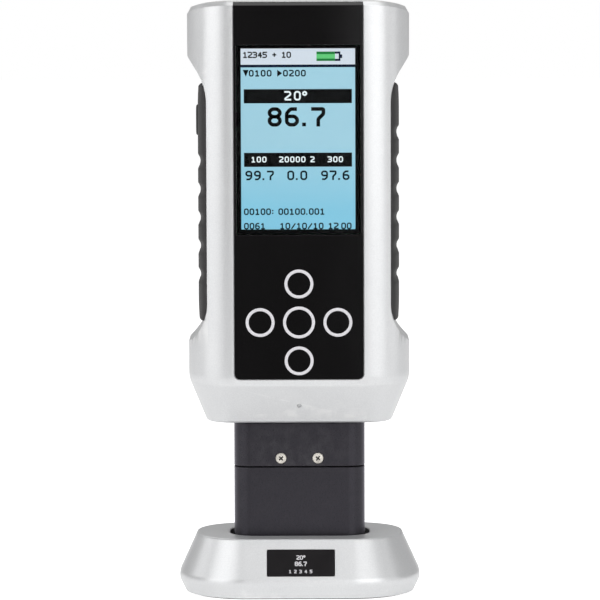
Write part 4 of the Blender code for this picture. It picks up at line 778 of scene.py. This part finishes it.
def rounded_path(points, closed, radius, steps=4):
    """Polyline with its corners rounded."""
    vectors = [Vector(point) for point in points]
    count = len(vectors)
    path = []
    for index, here in enumerate(vectors):
        if not closed and index in (0, count - 1):
            path.append(here)
            continue
        before = vectors[index - 1] - here
        after = vectors[(index + 1) % count] - here
        reach = min(radius, before.length / 2, after.length / 2)
        start = here + before.normalized() * reach
        end = here + after.normalized() * reach
        for step in range(steps + 1):
            share = step / steps
            path.append(start * (1 - share) ** 2 + here * 2 * share * (1 - share) + end * share ** 2)
    return path


def add_stroke(shape, path, closed, width, front, back):
    """Solid ribbon along a path in X and Z."""
    count = len(path)
    sides = []
    for index, here in enumerate(path):
        ahead = path[(index + 1) % count] if closed or index < count - 1 else here
        behind = path[index - 1] if closed or index > 0 else here
        along = (ahead - behind).normalized()
        point = here.copy()
        if not closed and index == 0:
            point -= along * width / 2
        if not closed and index == count - 1:
            point += along * width / 2
        across = Vector((-along.y, along.x)) * width / 2
        sides.append((point + across, point - across))
    rows = []
    for left, right in sides:
        rows.append(add_row(shape, [(point.x, depth, point.y) for point, depth in
                                    ((left, front), (right, front), (right, back), (left, back))]))
    bridge(shape, rows, closed)
    if not closed:
        shape.faces.new(rows[0])
        shape.faces.new(rows[-1])


def figures(name, lines, look, face, depth=0.04):
    """Figures as solid strokes; each line is (text, x, z, height, stroke, space)."""
    shape = bmesh.new()
    for text, left, foot, height, stroke, space in lines:
        unit = height / 6
        pen = left
        for sign in text:
            for points, closed in GLYPHS.get(sign, []):
                moved = [(pen + x * unit, foot + z * unit) for x, z in points]
                path = rounded_path(moved, closed, 0.55 * unit)
                add_stroke(shape, path, closed, stroke, face - depth, face)
            pen += (WIDTHS.get(sign, 4.0) + space) * unit
    return dress(finish_mesh(name, shape, look, math.radians(20.0)), None)


def plate(name, low, high, look, face, depth=0.03, radius=0.2):
    """Thin plate in X and Z, on a face that looks along -Y."""
    outline = rounded_rectangle(high[0] - low[0], high[1] - low[1], radius, 4)
    outline = [(x + (low[0] + high[0]) / 2, z + (low[1] + high[1]) / 2) for x, z in outline]
    dress(upright(name, [(outline, face), (outline, face - depth)], look), None)


def px(x, y):
    """Point of the screen, in X and Z, from its place in a 600-pixel picture."""
    return (x - MIDDLE_PIXEL) / PIXELS_PER_MM, SCREEN_TOP - (y - TOP_PIXEL) / ROWS_PER_MM


def screen_plate(name, left, top, right, foot, look, level, depth=0.03, radius=0.05):
    """Flat mark of the display between pixel places."""
    plate(name, px(left, foot), px(right, top), look, level, depth, radius)


def screen_lines(name, entries, look, level, height, stroke, space):
    """Lines of figures of one size; each entry is (text, pixel x, pixel y of the foot)."""
    height, stroke = height / PIXELS_PER_MM, stroke / PIXELS_PER_MM
    lines = [(text, *px(x, y), height, stroke, space) for text, x, y in entries]
    figures(name, lines, look, level)


def make_screen(looks):
    """Display module: dark frame, lit field, bars, figures and the battery sign."""
    rim = rectangle_between(DISPLAY_HALF - GAP, DISPLAY_FOOT + GAP, DISPLAY_TOP - GAP, DISPLAY_RADIUS)
    body = upright("display_module", [(rim, SCREEN), (rim, -17.2)], looks["frame"])
    soften(body, 0.1, 2, 30.0)
    dress(body, "lcd_module")
    lit = SCREEN - 0.05
    on = lit - 0.03
    plate("lit_field", (-19.0, 123.67), (18.8, SCREEN_TOP), looks["lit"], SCREEN, 0.05)
    screen_plate("title_bar", 241.1, 47.1, 355.5, 63.2, looks["title"], lit)
    screen_plate("title_line", 241.1, 63.2, 355.5, 65.9, looks["navy"], lit)
    screen_plate("angle_bar", 244.1, 87.7, 352.2, 101.8, looks["dark"], lit)
    screen_plate("heading_bar", 244.1, 151.3, 352.2, 165.4, looks["dark"], lit)
    screen_lines("title_figures", [("12345", 243.9, 55.9), ("+", 273.1, 55.9), ("10", 282.6, 55.9)],
                 looks["dark"], on, 5.0, 1.3, 1.9)
    screen_lines("menu_figures", [("0100", 249.9, 74.4), ("0200", 284.1, 74.4)],
                 looks["blue"], lit, 5.3, 1.35, 2.75)
    screen_lines("angle_figures", [("2", 285.5, 98.2), ("0", 295.1, 98.2), ("*", 303.3, 98.2)],
                 looks["white"], on, 7.8, 1.7, 2.6)
    screen_lines("reading_figures", [("86.7", 269.7, 123.3)], looks["dark"], lit, 15.7, 3.7, 2.6)
    screen_lines("heading_figures", [("100", 251.8, 160.4), ("20000", 279.8, 160.4), ("2", 311.0, 160.4),
                                     ("300", 328.4, 160.4)], looks["white"], on, 4.8, 1.2, 2.9)
    screen_lines("value_figures", [("99.7", 246.2, 177.9), ("0.0", 288.2, 177.9), ("97.6", 322.0, 177.9)],
                 looks["blue"], lit, 7.8, 1.8, 2.6)
    screen_lines("record_figures", [("00100", 244.4, 213.0), (":", 272.6, 213.0),
                                    ("00100.001", 278.9, 213.0), ("0061", 244.4, 227.5),
                                    ("10/10/10", 280.4, 227.5), ("12", 328.9, 227.5),
                                    ("00", 341.9, 227.5)], looks["blue"], lit, 5.3, 1.3, 2.3)
    for name, corners in (("menu_arrow_down", ((243.3, 68.4), (249.0, 68.4), (246.2, 75.2))),
                          ("menu_arrow_right", ((277.6, 68.3), (282.6, 71.8), (277.6, 75.3)))):
        outline = [px(*corner) for corner in corners]
        arrow = upright(name, [(outline, lit), (outline, lit - 0.03)], looks["dark"])
        dress(arrow, None)
    for name, left, top, right, foot, look in (
            ("battery_sign_upper_charge", 316.9, 50.3, 335.4, 52.8, "green"),
            ("battery_sign_lower_charge", 316.9, 57.3, 335.4, 59.7, "green"),
            ("battery_sign_charge", 316.9, 52.8, 335.4, 57.3, "pale_green"),
            ("battery_sign_upper_rest", 335.4, 50.3, 340.8, 52.4, "navy"),
            ("battery_sign_lower_rest", 335.4, 57.6, 340.8, 59.7, "navy"),
            ("battery_sign_end", 339.2, 52.4, 340.8, 57.6, "navy"),
            ("battery_sign_tip", 340.8, 53.2, 342.6, 56.8, "navy")):
        screen_plate(name, left, top, right, foot, looks[look], on, 0.02, 0.02)


def make_keys(look):
    """Printed rings of the five touch keys."""
    for word, x, z in (("up", 0, 1), ("down", 0, -1), ("left", -1, 0), ("right", 1, 0), ("centre", 0, 0)):
        outer = CENTRE_KEY_RADIUS if word == "centre" else KEY_RADIUS
        inside = outer - KEY_STROKE
        slope = 0.06
        profile = ((outer, 0.0), (outer - slope, KEY_RISE), (inside + slope, KEY_RISE), (inside, 0.0))
        shape = bmesh.new()
        rows = []
        for index in range(96):
            angle = 2 * math.pi * index / 96
            rows.append(add_row(shape, [(x * KEY_PITCH_X + reach * math.cos(angle),
                                         -FACE - 0.004 - rise,
                                         KEY_CENTRE + z * KEY_PITCH_Z + reach * math.sin(angle))
                                        for reach, rise in profile]))
        bridge(shape, rows, True)
        ring = finish_mesh(f"key_ring_{word}", shape, look, math.radians(60.0))
        dress(ring, None)


# Grips and side button

def ripple(height, count):
    """How far the grip is drawn in at a height by its ripples."""
    for index in range(count):
        rise = height - (RIPPLE_BASE + RIPPLE_PITCH * index)
        reach = RIPPLE_UPPER if rise > 0.0 else RIPPLE_LOWER
        if abs(rise) < reach:
            return 0.85 * (1.0 - (rise / reach) ** 2)
    return 0.0


def grip_ring(height, inside, outside):
    """Plan ring of the right grip at one height."""
    share = (inside - GAP - FLAT) / (BODY_HALF - FLAT)
    edge = SIDE_FLAT + (FACE - SIDE_FLAT) * math.sqrt(max(1.0 - share * share, 0.0))
    quarter = [(inside + (outside - inside) * sine, SIDE_FLAT + (edge - SIDE_FLAT) * cosine)
               for sine, cosine in quarter_turn(18)]
    return [(x, -y, height) for x, y in quarter] + [(x, y, height) for x, y in reversed(quarter)]


def waist_at(path, height):
    """Half width of the waist at a height."""
    for (x_a, z_a), (x_b, z_b) in zip(path, path[1:]):
        if z_b <= height <= z_a:
            return x_a + (x_b - x_a) * (z_a - height) / (z_a - z_b)
    return path[-1][0]


def grip_drop(distance):
    """How far the outer face falls back at a distance from the nearer end."""
    fade = 0.28 * (1.0 - min(distance / 8.0, 1.0)) ** 2
    corner = 0.5
    if distance >= corner:
        return fade
    return fade + corner - math.sqrt(corner ** 2 - (corner - distance) ** 2)


def button_outline(amount, steps=12):
    """Outline of the side button in Y and Z, grown by an amount."""
    return [(y, z + BUTTON_CENTRE) for y, z in grown(BUTTON, amount, steps)]


def make_grip(word, side, count, look):
    """Rubber side grip along the waist, with its ripples and blunt round ends."""
    limit = GRIP_FACE - GRIP_END - GAP
    path = waist_path()
    ends = [z_a + (z_b - z_a) * (limit - x_a) / (x_b - x_a)
            for (x_a, z_a), (x_b, z_b) in zip(path, path[1:]) if (x_a - limit) * (x_b - limit) < 0.0]
    foot, top = min(ends), max(ends)
    steps = round((top - foot) / 0.4)
    heights = [foot + (top - foot) * step / steps for step in range(steps + 1)]
    for offset in (0.03, 0.08, 0.16, 0.27):
        heights += [foot + offset, top - offset]
    rings = []
    for height in sorted(heights):
        drop = ripple(height, count) + grip_drop(min(height - foot, top - height))
        rings.append(grip_ring(height, waist_at(path, height) + GAP / 3, GRIP_FACE - drop))
    rings = [[(side * x, y, z) for x, y, z in points] for points in rings]
    grip = loft(f"{word}_rubber_grip", rings, look)
    if side < 0:
        room = button_outline(0.15, 10)
        combine(grip, "DIFFERENCE", sideways("room", [(room, -40), (room, -29.6)]))
    soften(grip, 0.10, 2, 45.0)
    dress(grip, f"{word}_grip")


def make_button(look):
    """Side button: dished rubber cap on a stem with a flange."""
    crown = -34.3
    edge = 0.6
    levels = [(button_outline(-2.6), crown + 0.16), (button_outline(-1.5), crown + 0.05)]
    levels += [(button_outline(-edge * (1.0 - sine)), crown + edge * (1.0 - cosine))
               for sine, cosine in quarter_turn(6)]
    levels.append((button_outline(0.0), -32.0))
    cap = sideways("side_button_cap", levels, look)
    stem = box("stem", (-32.5, -1.5, BUTTON_CENTRE - 2.5), (-24.6, 1.5, BUTTON_CENTRE + 2.5))
    flange = box("flange", (-27.9, -2.3, BUTTON_CENTRE - 4.2), (-26.9, 2.3, BUTTON_CENTRE + 4.2))
    combine(cap, "UNION", stem, flange)
    soften(cap, 0.12, 2, 50.0)
    dress(cap, "side_button", "side_button")


# Head and base

def head_outline(inset):
    """Plan of the head blocks, moved inwards."""
    return rounded_rectangle(HEAD_WIDTH - 2 * inset, HEAD_DEPTH - 2 * inset, HEAD_RADIUS - inset, 20)


def rounded_block(name, foot, top, radius, look):
    """Block of the head with rounded ends."""
    levels = [(head_outline(radius * (1.0 - sine)), foot + radius * (1.0 - cosine))
              for sine, cosine in quarter_turn(4)]
    levels += [(head_outline(radius * (1.0 - cosine)), top - radius * (1.0 - sine))
               for sine, cosine in quarter_turn(4)]
    return stack(name, levels, look)


def optic_place(piece, side):
    """Stand a piece on the measured spot, tilted along one of the two bores."""
    piece.location = metres(0.0, 0.0, MEASURED_SPOT)
    piece.rotation_euler = (0.0, side * OPTICS_TILT, 0.0)


def head_screw_places():
    """Screw axes as (side, face)."""
    return [(side, face) for face in (-1, 1) for side in (-1, 1)]


def head_holes():
    """Cutters for the head screws: their shanks and counterbores."""
    holes = []
    for side, face in head_screw_places():
        hole = turned(f"screw_hole_{side}_{face}", [
            (0.0, 4.0), (1.25, 4.0), (1.25, 10.2), (1.9, 10.2), (1.9, 14), (0.0, 14)], 40)
        hole.location = metres(side * HEAD_SCREW_X, 0.0, HEAD_SCREW_Z)
        hole.rotation_euler = (-face * math.pi / 2, 0.0, 0.0)
        holes.append(hole)
    return holes


def make_head(look):
    """Lower optics block with its two bores, and the hollow block above it."""
    lower = rounded_block("lower_head", HEAD_FOOT, BLOCK_FOOT - GAP, 0.35, look)
    outside = HEAD_DEPTH / 2 - 2.7
    lugs = [box(f"lug_{index}", (-11, low, 41.9), (11, low + 3.2, 49.35))
            for index, low in enumerate((-outside, outside - 3.2))]
    combine(lower, "UNION", *lugs)
    tools = []
    for side in (-1, 1):
        bore = turned(f"bore_{side}", [(0.0, -4.2), (3.6, -4.2), (3.6, 16), (4.2, 16),
                                       (4.2, 34.5), (5.3, 34.5), (5.3, 43), (0.0, 43)])
        optic_place(bore, side)
        tools.append(bore)
    combine(lower, "DIFFERENCE", *tools, *head_holes())
    soften(lower, 0.1, 2, 50.0)
    dress(lower, "lower_head_block")

    upper = rounded_block("upper_head", BLOCK_FOOT, BLOCK_TOP, 0.35, look)
    neck = grown(NECK)
    combine(upper, "UNION", stack("neck", [(neck, 56.9), (neck, 60.6)]))
    cavity = rounded_rectangle(38.8, 17.2, 3.1)
    duct = rounded_rectangle(10, 6, 2)
    tools = [stack("cavity", [(cavity, 40), (cavity, 54.9)]),
             stack("duct", [(duct, 53.9), (duct, 62)])]
    tools += head_holes()
    for side in (-1, 1):
        pilot = cylinder(f"pilot_{side}", 1.5, 57.2, 62, 32)
        pilot.location = metres(side * 14, 0.0, 0.0)
        tools.append(pilot)
    combine(upper, "DIFFERENCE", *tools)
    soften(upper, 0.12, 2, 50.0)
    dress(upper, "upper_head_block")


def cross_screw(name, radius, head, length, shank, looks, recess):
    """Pan-head screw along Z, crown up, with a tapered cross recess whose faces take a dark colour as
    painted shade.
    """
    crown = length + head
    profile = [(0.0, 0.0), (shank * 0.6, 0.0), (shank, 0.5), (shank, length), (radius, length)]
    profile += [(radius - 0.45 * head + 0.45 * head * cosine, crown - 0.6 * head + 0.45 * head * sine)
                for sine, cosine in quarter_turn(6)]
    profile += [(radius * 0.55, crown - 0.06 * head), (0.0, crown)]
    screw = turned(name, profile, 48, looks[0])
    # The cutter arms carry the dark recess colour onto the faces of the cross: painted shade.
    arms = []
    for index, (long, thin) in enumerate(((recess, recess * 0.27), (recess * 0.27, recess))):
        top = [(-long, -thin), (long, -thin), (long, thin), (-long, thin)]
        deep = [(x * 0.6, y * 0.6) for x, y in top]
        levels = [(deep, crown - 0.85 * head), (top, crown - 0.1 * head), (top, crown + 1.0)]
        arms.append(stack(f"arm_{index}", levels, looks[1]))
    combine(screw, "DIFFERENCE", *arms)
    screw.data.shade_smooth()
    screw.data.set_sharp_from_angle(angle=SMOOTH_ANGLE)
    return screw


def make_screws(plated, steel, recess):
    """Head screws and case screws with cross recesses; recess is the look of painted shade in those
    recesses.
    """
    for index, (side, face) in enumerate(head_screw_places()):
        screw = cross_screw(f"head_screw_{index + 1}_cross", radius=1.82, head=0.8, length=5.2, shank=0.95,
                            looks=(plated, recess), recess=0.9)
        turn = Matrix.Rotation(math.radians(42.0 + 12.0 * index), 4, "Z")
        place = shift(side * HEAD_SCREW_X, face * HEAD_SCREW_TIP, HEAD_SCREW_Z)
        screw.data.transform(place @ Matrix.Rotation(-face * math.pi / 2, 4, "X") @ turn)
        dress(screw, f"head_screw_{index + 1}")
    for index, (x, z) in enumerate(case_screw_places()):
        screw = cross_screw(f"case_screw_{index + 1}_cross", radius=2.4, head=1.8, length=24.5, shank=1.3,
                            looks=(steel, recess), recess=1.35)
        turn = Matrix.Rotation(math.radians(12.0 + 31.0 * index), 4, "Z")
        place = shift(x, CASE_SCREW_TIP, z)
        screw.data.transform(place @ Matrix.Rotation(-math.pi / 2, 4, "X") @ turn)
        dress(screw, f"case_screw_{index + 1}")


def base_outline(radius, steps=28):
    """Plan of the base at a level whose corner radius is given."""
    setback = BASE_RADIUS - radius
    return rounded_rectangle(BASE_WIDTH - 2 * setback, BASE_DEPTH - 2 * setback, radius, steps)


def label_frame(face):
    """Place of a flat piece on the front slope of the base, out by face."""
    tilt = math.atan2(BASE_SETBACK, BASE_HEIGHT - BASE_CREASE)
    front = BASE_DEPTH / 2 - BASE_SETBACK
    place = shift(0.35, -front - LABEL_DROP * math.sin(tilt), BASE_HEIGHT - LABEL_DROP * math.cos(tilt))
    return place @ Matrix.Rotation(-tilt, 4, "X") @ shift(0.0, -face, 0.0)


def make_base(silver, print_look, white):
    """Stand with its well and label pocket, and the label with its figures."""
    corners = [(14.9, BASE_HEIGHT, 0.0), (BASE_RADIUS - BASE_SETBACK, BASE_HEIGHT, 1.0),
               (BASE_RADIUS + 0.16, BASE_CREASE, 4.0), (BASE_RADIUS - 2.4, 0.45, 0.0)]
    levels = [(base_outline(radius), height) for radius, height in filleted(corners, 10)]
    shell = stack("base_painted", levels, silver)
    slope = BASE_SETBACK / (BASE_HEIGHT - BASE_CREASE)
    hollow = stack("hollow", [
        (base_outline(18.8), 0.0), (base_outline(18.8), 3.8),
        (base_outline(BASE_INSIDE), BASE_CREASE),
        (base_outline(BASE_INSIDE - slope * (BASE_ROOF - BASE_CREASE)), BASE_ROOF)])
    opening, flared, collar = [grown(WELL, amount, 20) for amount in (0.0, 1.3, 1.8)]
    combine(hollow, "DIFFERENCE", stack("collar", [(collar, 3.8), (collar, 30)]))
    well = stack("well", [(opening, 2.5), (opening, BASE_HEIGHT - 0.3), (flared, BASE_HEIGHT + 1.0)])
    half_width = LABEL_WIDTH / 2 + 0.07
    half_height = LABEL_HEIGHT / 2 + 0.07
    pocket = box("pocket", (-half_width, -2, -half_height), (half_width, 0.5, half_height))
    pocket.data.transform(label_frame(0.0))
    combine(shell, "DIFFERENCE", hollow, well, pocket)
    soften(shell, 0.12, 2, 50.0)
    dress(shell, "base_shell")

    outline = rounded_rectangle(LABEL_WIDTH, LABEL_HEIGHT, 0.5, 6)
    label = upright("base_label_plate", [(outline, -0.2), (outline, 0.2)], print_look)
    label.data.transform(label_frame(0.0))
    soften(label, 0.06, 2, 30.0)
    dress(label, "base_label")

    marks = figures("base_label_figures", [
        ("20*", -1.35, 1.25, 1.2, 0.28, 1.6),
        ("86.7", -1.9, -0.95, 1.25, 0.32, 1.7),
        ("1 2 3 4 5", -3.9, -3.45, 0.95, 0.24, 1.5)], white, 0.0, 0.02)
    marks.data.transform(label_frame(0.2))

    rim = base_outline(19.4)
    raised = base_outline(18.7)
    rubber = bpy.data.materials["grip_rubber"]
    sole = stack("base_sole", [(base_outline(19.2), 0.0), (rim, 0.15), (rim, 0.38),
                               (raised, 0.4), (raised, 1.0)], rubber)
    dress(sole, "base_pad")


def status_look():
    """Milky end of the light pipe, clearer in places."""
    look = Look("status_dome", Transmission_Weight=0.35, IOR=1.45)
    milk = look.noise(900.0, 3.0)
    return look.done(look.shade(milk, (0.58, 0.59, 0.60), (0.68, 0.69, 0.70)),
                     look.spread(milk, 0.10, 0.20),
                     look.relief(milk, 0.05, 0.00001))


def make_status(clear):
    """Light pipe with a domed end."""
    profile = [(0.0, -4.1), (1.7, -4.1), (1.7, -3.3), (0.75, -3.3)]
    profile += [(0.75 * cosine, 0.375 * sine) for sine, cosine in quarter_turn(8)]
    profile[-1] = (0.0, 0.375)
    light = turned("status_lens", profile, 40, clear)
    place_status(light)
    bpy.context.view_layer.update()
    dress(light, "status_light")


def dress_nodes(looks):
    """Node materials for the CAD nodes that stay."""
    for names, look in (
            ("base_plate", looks["anodised"]),
            ("base_screw_1 base_screw_2 base_screw_3 base_screw_4", looks["steel"]),
            ("tile_seat", looks["foam"]), ("calibration_tile", looks["tile"]),
            ("head_plate plate_screw_left plate_screw_right usb_socket", looks["steel"]),
            ("source_lens receiver_lens source_led", looks["clear"]),
            ("source_spacer source_aperture receiver_spacer receiver_aperture", looks["anodised"]),
            ("source_board receiver_board touch_board main_board", looks["board"]),
            ("receiver_array side_switch", looks["chip"]), ("battery_pack", looks["wrap"])):
        for name in names.split():
            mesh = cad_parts[name].data
            mesh.materials.clear()
            mesh.materials.append(look)


# Stage, light and camera

FLOOR_CORNERS = ((-6000, -400, 0), (6000, -400, 0), (6000, 6000, 0), (-6000, 6000, 0))
AMBIENT = 0.28
CAMERA_PLACE = Vector((0.35 * MM, -1.3, 0.21))
CAMERA_AIM = Vector((0.35 * MM, 0.0, 0.0983))
CAMERA_LENS = 231.96
CAMERA_ROLL = math.radians(-0.19)


def make_stage():
    """Pale floor that keeps the shadow and looks white to the camera."""
    shape = bmesh.new()
    shape.faces.new(add_row(shape, FLOOR_CORNERS))
    look = Look("floor", Roughness=0.9, Specular_IOR_Level=0.0, Emission_Color=(1.0, 1.0, 1.0, 1.0))
    path = look.node("ShaderNodeLightPath").outputs
    seen = look.math("MULTIPLY", path["Is Camera Ray"], 0.82)
    through = look.math("MULTIPLY", path["Is Transmission Ray"], 0.82)
    mirrored = look.math("MULTIPLY", path["Is Glossy Ray"], 0.66)
    strength = look.math("MAXIMUM", look.math("MAXIMUM", seen, through), mirrored)
    look.join(strength, look.shader.inputs["Emission Strength"])
    pale = look.shade(look.noise(3.0, 2.0), (0.78, 0.78, 0.78), (0.80, 0.80, 0.80))
    finish_mesh("floor", shape, look.done(pale))


def make_world():
    """White behind the object, a darker room in front of it, and plain ambient light."""
    world = bpy.data.worlds.new("studio")
    bpy.context.scene.world = world
    world.use_nodes = True
    nodes = Nodes(world.node_tree)
    path = nodes.node("ShaderNodeLightPath").outputs
    parts = nodes.node("ShaderNodeSeparateXYZ")
    nodes.join(nodes.node("ShaderNodeTexCoord").outputs["Generated"], parts.inputs["Vector"])
    strength = AMBIENT
    room = nodes.spread(parts.outputs["Y"], 0.14, 0.42, -0.1, 0.5)
    shiny = nodes.math("MAXIMUM", path["Is Glossy Ray"], path["Is Transmission Ray"])
    for ray, level in ((shiny, room), (path["Is Camera Ray"], 1.0)):
        choice = nodes.node("ShaderNodeMix")
        for value, index in ((ray, 0), (strength, 2), (level, 3)):
            nodes.join(value, choice.inputs[index])
        strength = choice.outputs[0]
    background = world.node_tree.nodes["Background"]
    background.inputs["Color"].default_value = (1.0, 1.0, 1.0, 1.0)
    nodes.join(strength, background.inputs["Strength"])


def lamp(name, place, target, width, height, power):
    """Soft rectangular lamp that looks at a point."""
    data = bpy.data.lights.new(name, "AREA")
    data.shape = "RECTANGLE"
    data.size = width
    data.size_y = height
    data.energy = power
    made = bpy.data.objects.new(name, data)
    made.location = place
    made.rotation_euler = (Vector(target) - Vector(place)).to_track_quat("-Z", "Y").to_euler()
    bpy.context.scene.collection.objects.link(made)


def make_lamps():
    """Large soft lamps: right, left, above and behind, and a small one for the left of the base."""
    aim = (0.0, 0.0, 0.30)
    lamp("key_right", (0.46, -0.87, 0.39), (0.0, 0.0, 0.37), 0.92, 0.78, 5.8)
    lamp("side_right", (0.93, -0.24, 0.36), (0.0, 0.0, 0.36), 0.42, 0.72, 0.9)
    lamp("fill_left", (-0.72, -0.62, 0.51), (0.0, 0.0, 0.40), 0.84, 0.96, 5.4)
    lamp("corner_left", (-0.88, 0.12, 0.42), (0.0, 0.0, 0.02), 0.42, 0.34, 0.75)
    lamp("front_above", (-0.05, -0.78, 0.95), aim, 1.0, 0.45, 1.45)
    lamp("above", (0.15, -0.05, 1.05), (0.0, 0.0, 0.1), 0.7, 0.5, 2.2)
    lamp("behind", (-0.25, 0.95, 0.95), (0.0, 0.0, 0.1), 0.8, 0.5, 1.6)


def make_camera():
    """Long lens, a little above the middle of the object."""
    data = bpy.data.cameras.new("camera")
    data.lens = CAMERA_LENS
    data.sensor_width = 36.0
    data.clip_start = 0.05
    data.clip_end = 30.0
    camera = bpy.data.objects.new("camera", data)
    turn = (CAMERA_AIM - CAMERA_PLACE).to_track_quat("-Z", "Y").to_matrix().to_4x4()
    camera.matrix_world = Matrix.Translation(CAMERA_PLACE) @ turn @ Matrix.Rotation(CAMERA_ROLL, 4, "Z")
    bpy.context.scene.collection.objects.link(camera)
    bpy.context.scene.camera = camera


def main():
    make_camera()
    make_world()
    make_lamps()
    make_stage()
    silver = silver_look()
    anodised = anodised_look()
    rubber = rubber_look()
    gloss = gloss_look()
    steel = steel_look()
    clear = clear_look()
    plated = steel_look("plated_screw", (0.60, 0.57, 0.52), (0.46, 0.60))
    plated.node_tree.nodes["Principled BSDF"].inputs["Metallic"].default_value = 0.55
    # Dark colour for the screws' cross recesses: painted shade where the recess falls into shadow.
    recess = plastic_look("screw_recess_painted_shade", (0.055, 0.050, 0.045), 0.6)
    white = ink_look("white_print", (0.61, 0.60, 0.625))
    screen = {
        "frame": plastic_look("display_frame", (0.0008, 0.0008, 0.0010), 0.45, sheen=0.05),
        "lit": lit_look("lit_cells", (0.337, 0.612, 0.737), (0.206, 0.553, 0.735)),
        "title": ink_look("title_cells", (0.0, 0.0, 0.0), (0.68, 0.75, 0.84)),
        "dark": ink_look("dark_cells", (0.0008, 0.0010, 0.0016)),
        "blue": ink_look("blue_cells", (0.002, 0.010, 0.016)),
        "navy": ink_look("navy_cells", (0.002, 0.008, 0.028)),
        "white": ink_look("white_cells", (0.0, 0.0, 0.0), (0.85, 0.93, 0.96)),
        "green": ink_look("green_cells", (0.0, 0.0, 0.0), (0.015, 0.20, 0.045)),
        "pale_green": ink_look("pale_green_cells", (0.0, 0.0, 0.0), (0.13, 0.60, 0.20)),
    }
    make_shells(silver)
    make_panel(gloss, clear_look("window_glass", 0.02, 1.15))
    make_screen(screen)
    make_keys(white)
    make_grip("right", 1, 6, rubber)
    make_grip("left", -1, 5, rubber)
    make_button(rubber)
    make_head(anodised)
    make_screws(plated, steel, recess)
    make_base(silver, plastic_look("label_film", (0.005, 0.004, 0.005), 0.35, sheen=0.15), white)
    make_status(status_look())
    dress_nodes({
        "anodised": anodised, "steel": steel, "clear": clear, "foam": foam_look(), "board": board_look(),
        "tile": plastic_look("tile_glass", (0.004, 0.004, 0.005), 0.08, 900.0, 0.000005),
        "chip": plastic_look("chip_plastic", (0.02, 0.02, 0.02), 0.5), "wrap": wrap_look(),
    })
    bpy.context.scene.view_settings.view_transform = "Standard"


main()
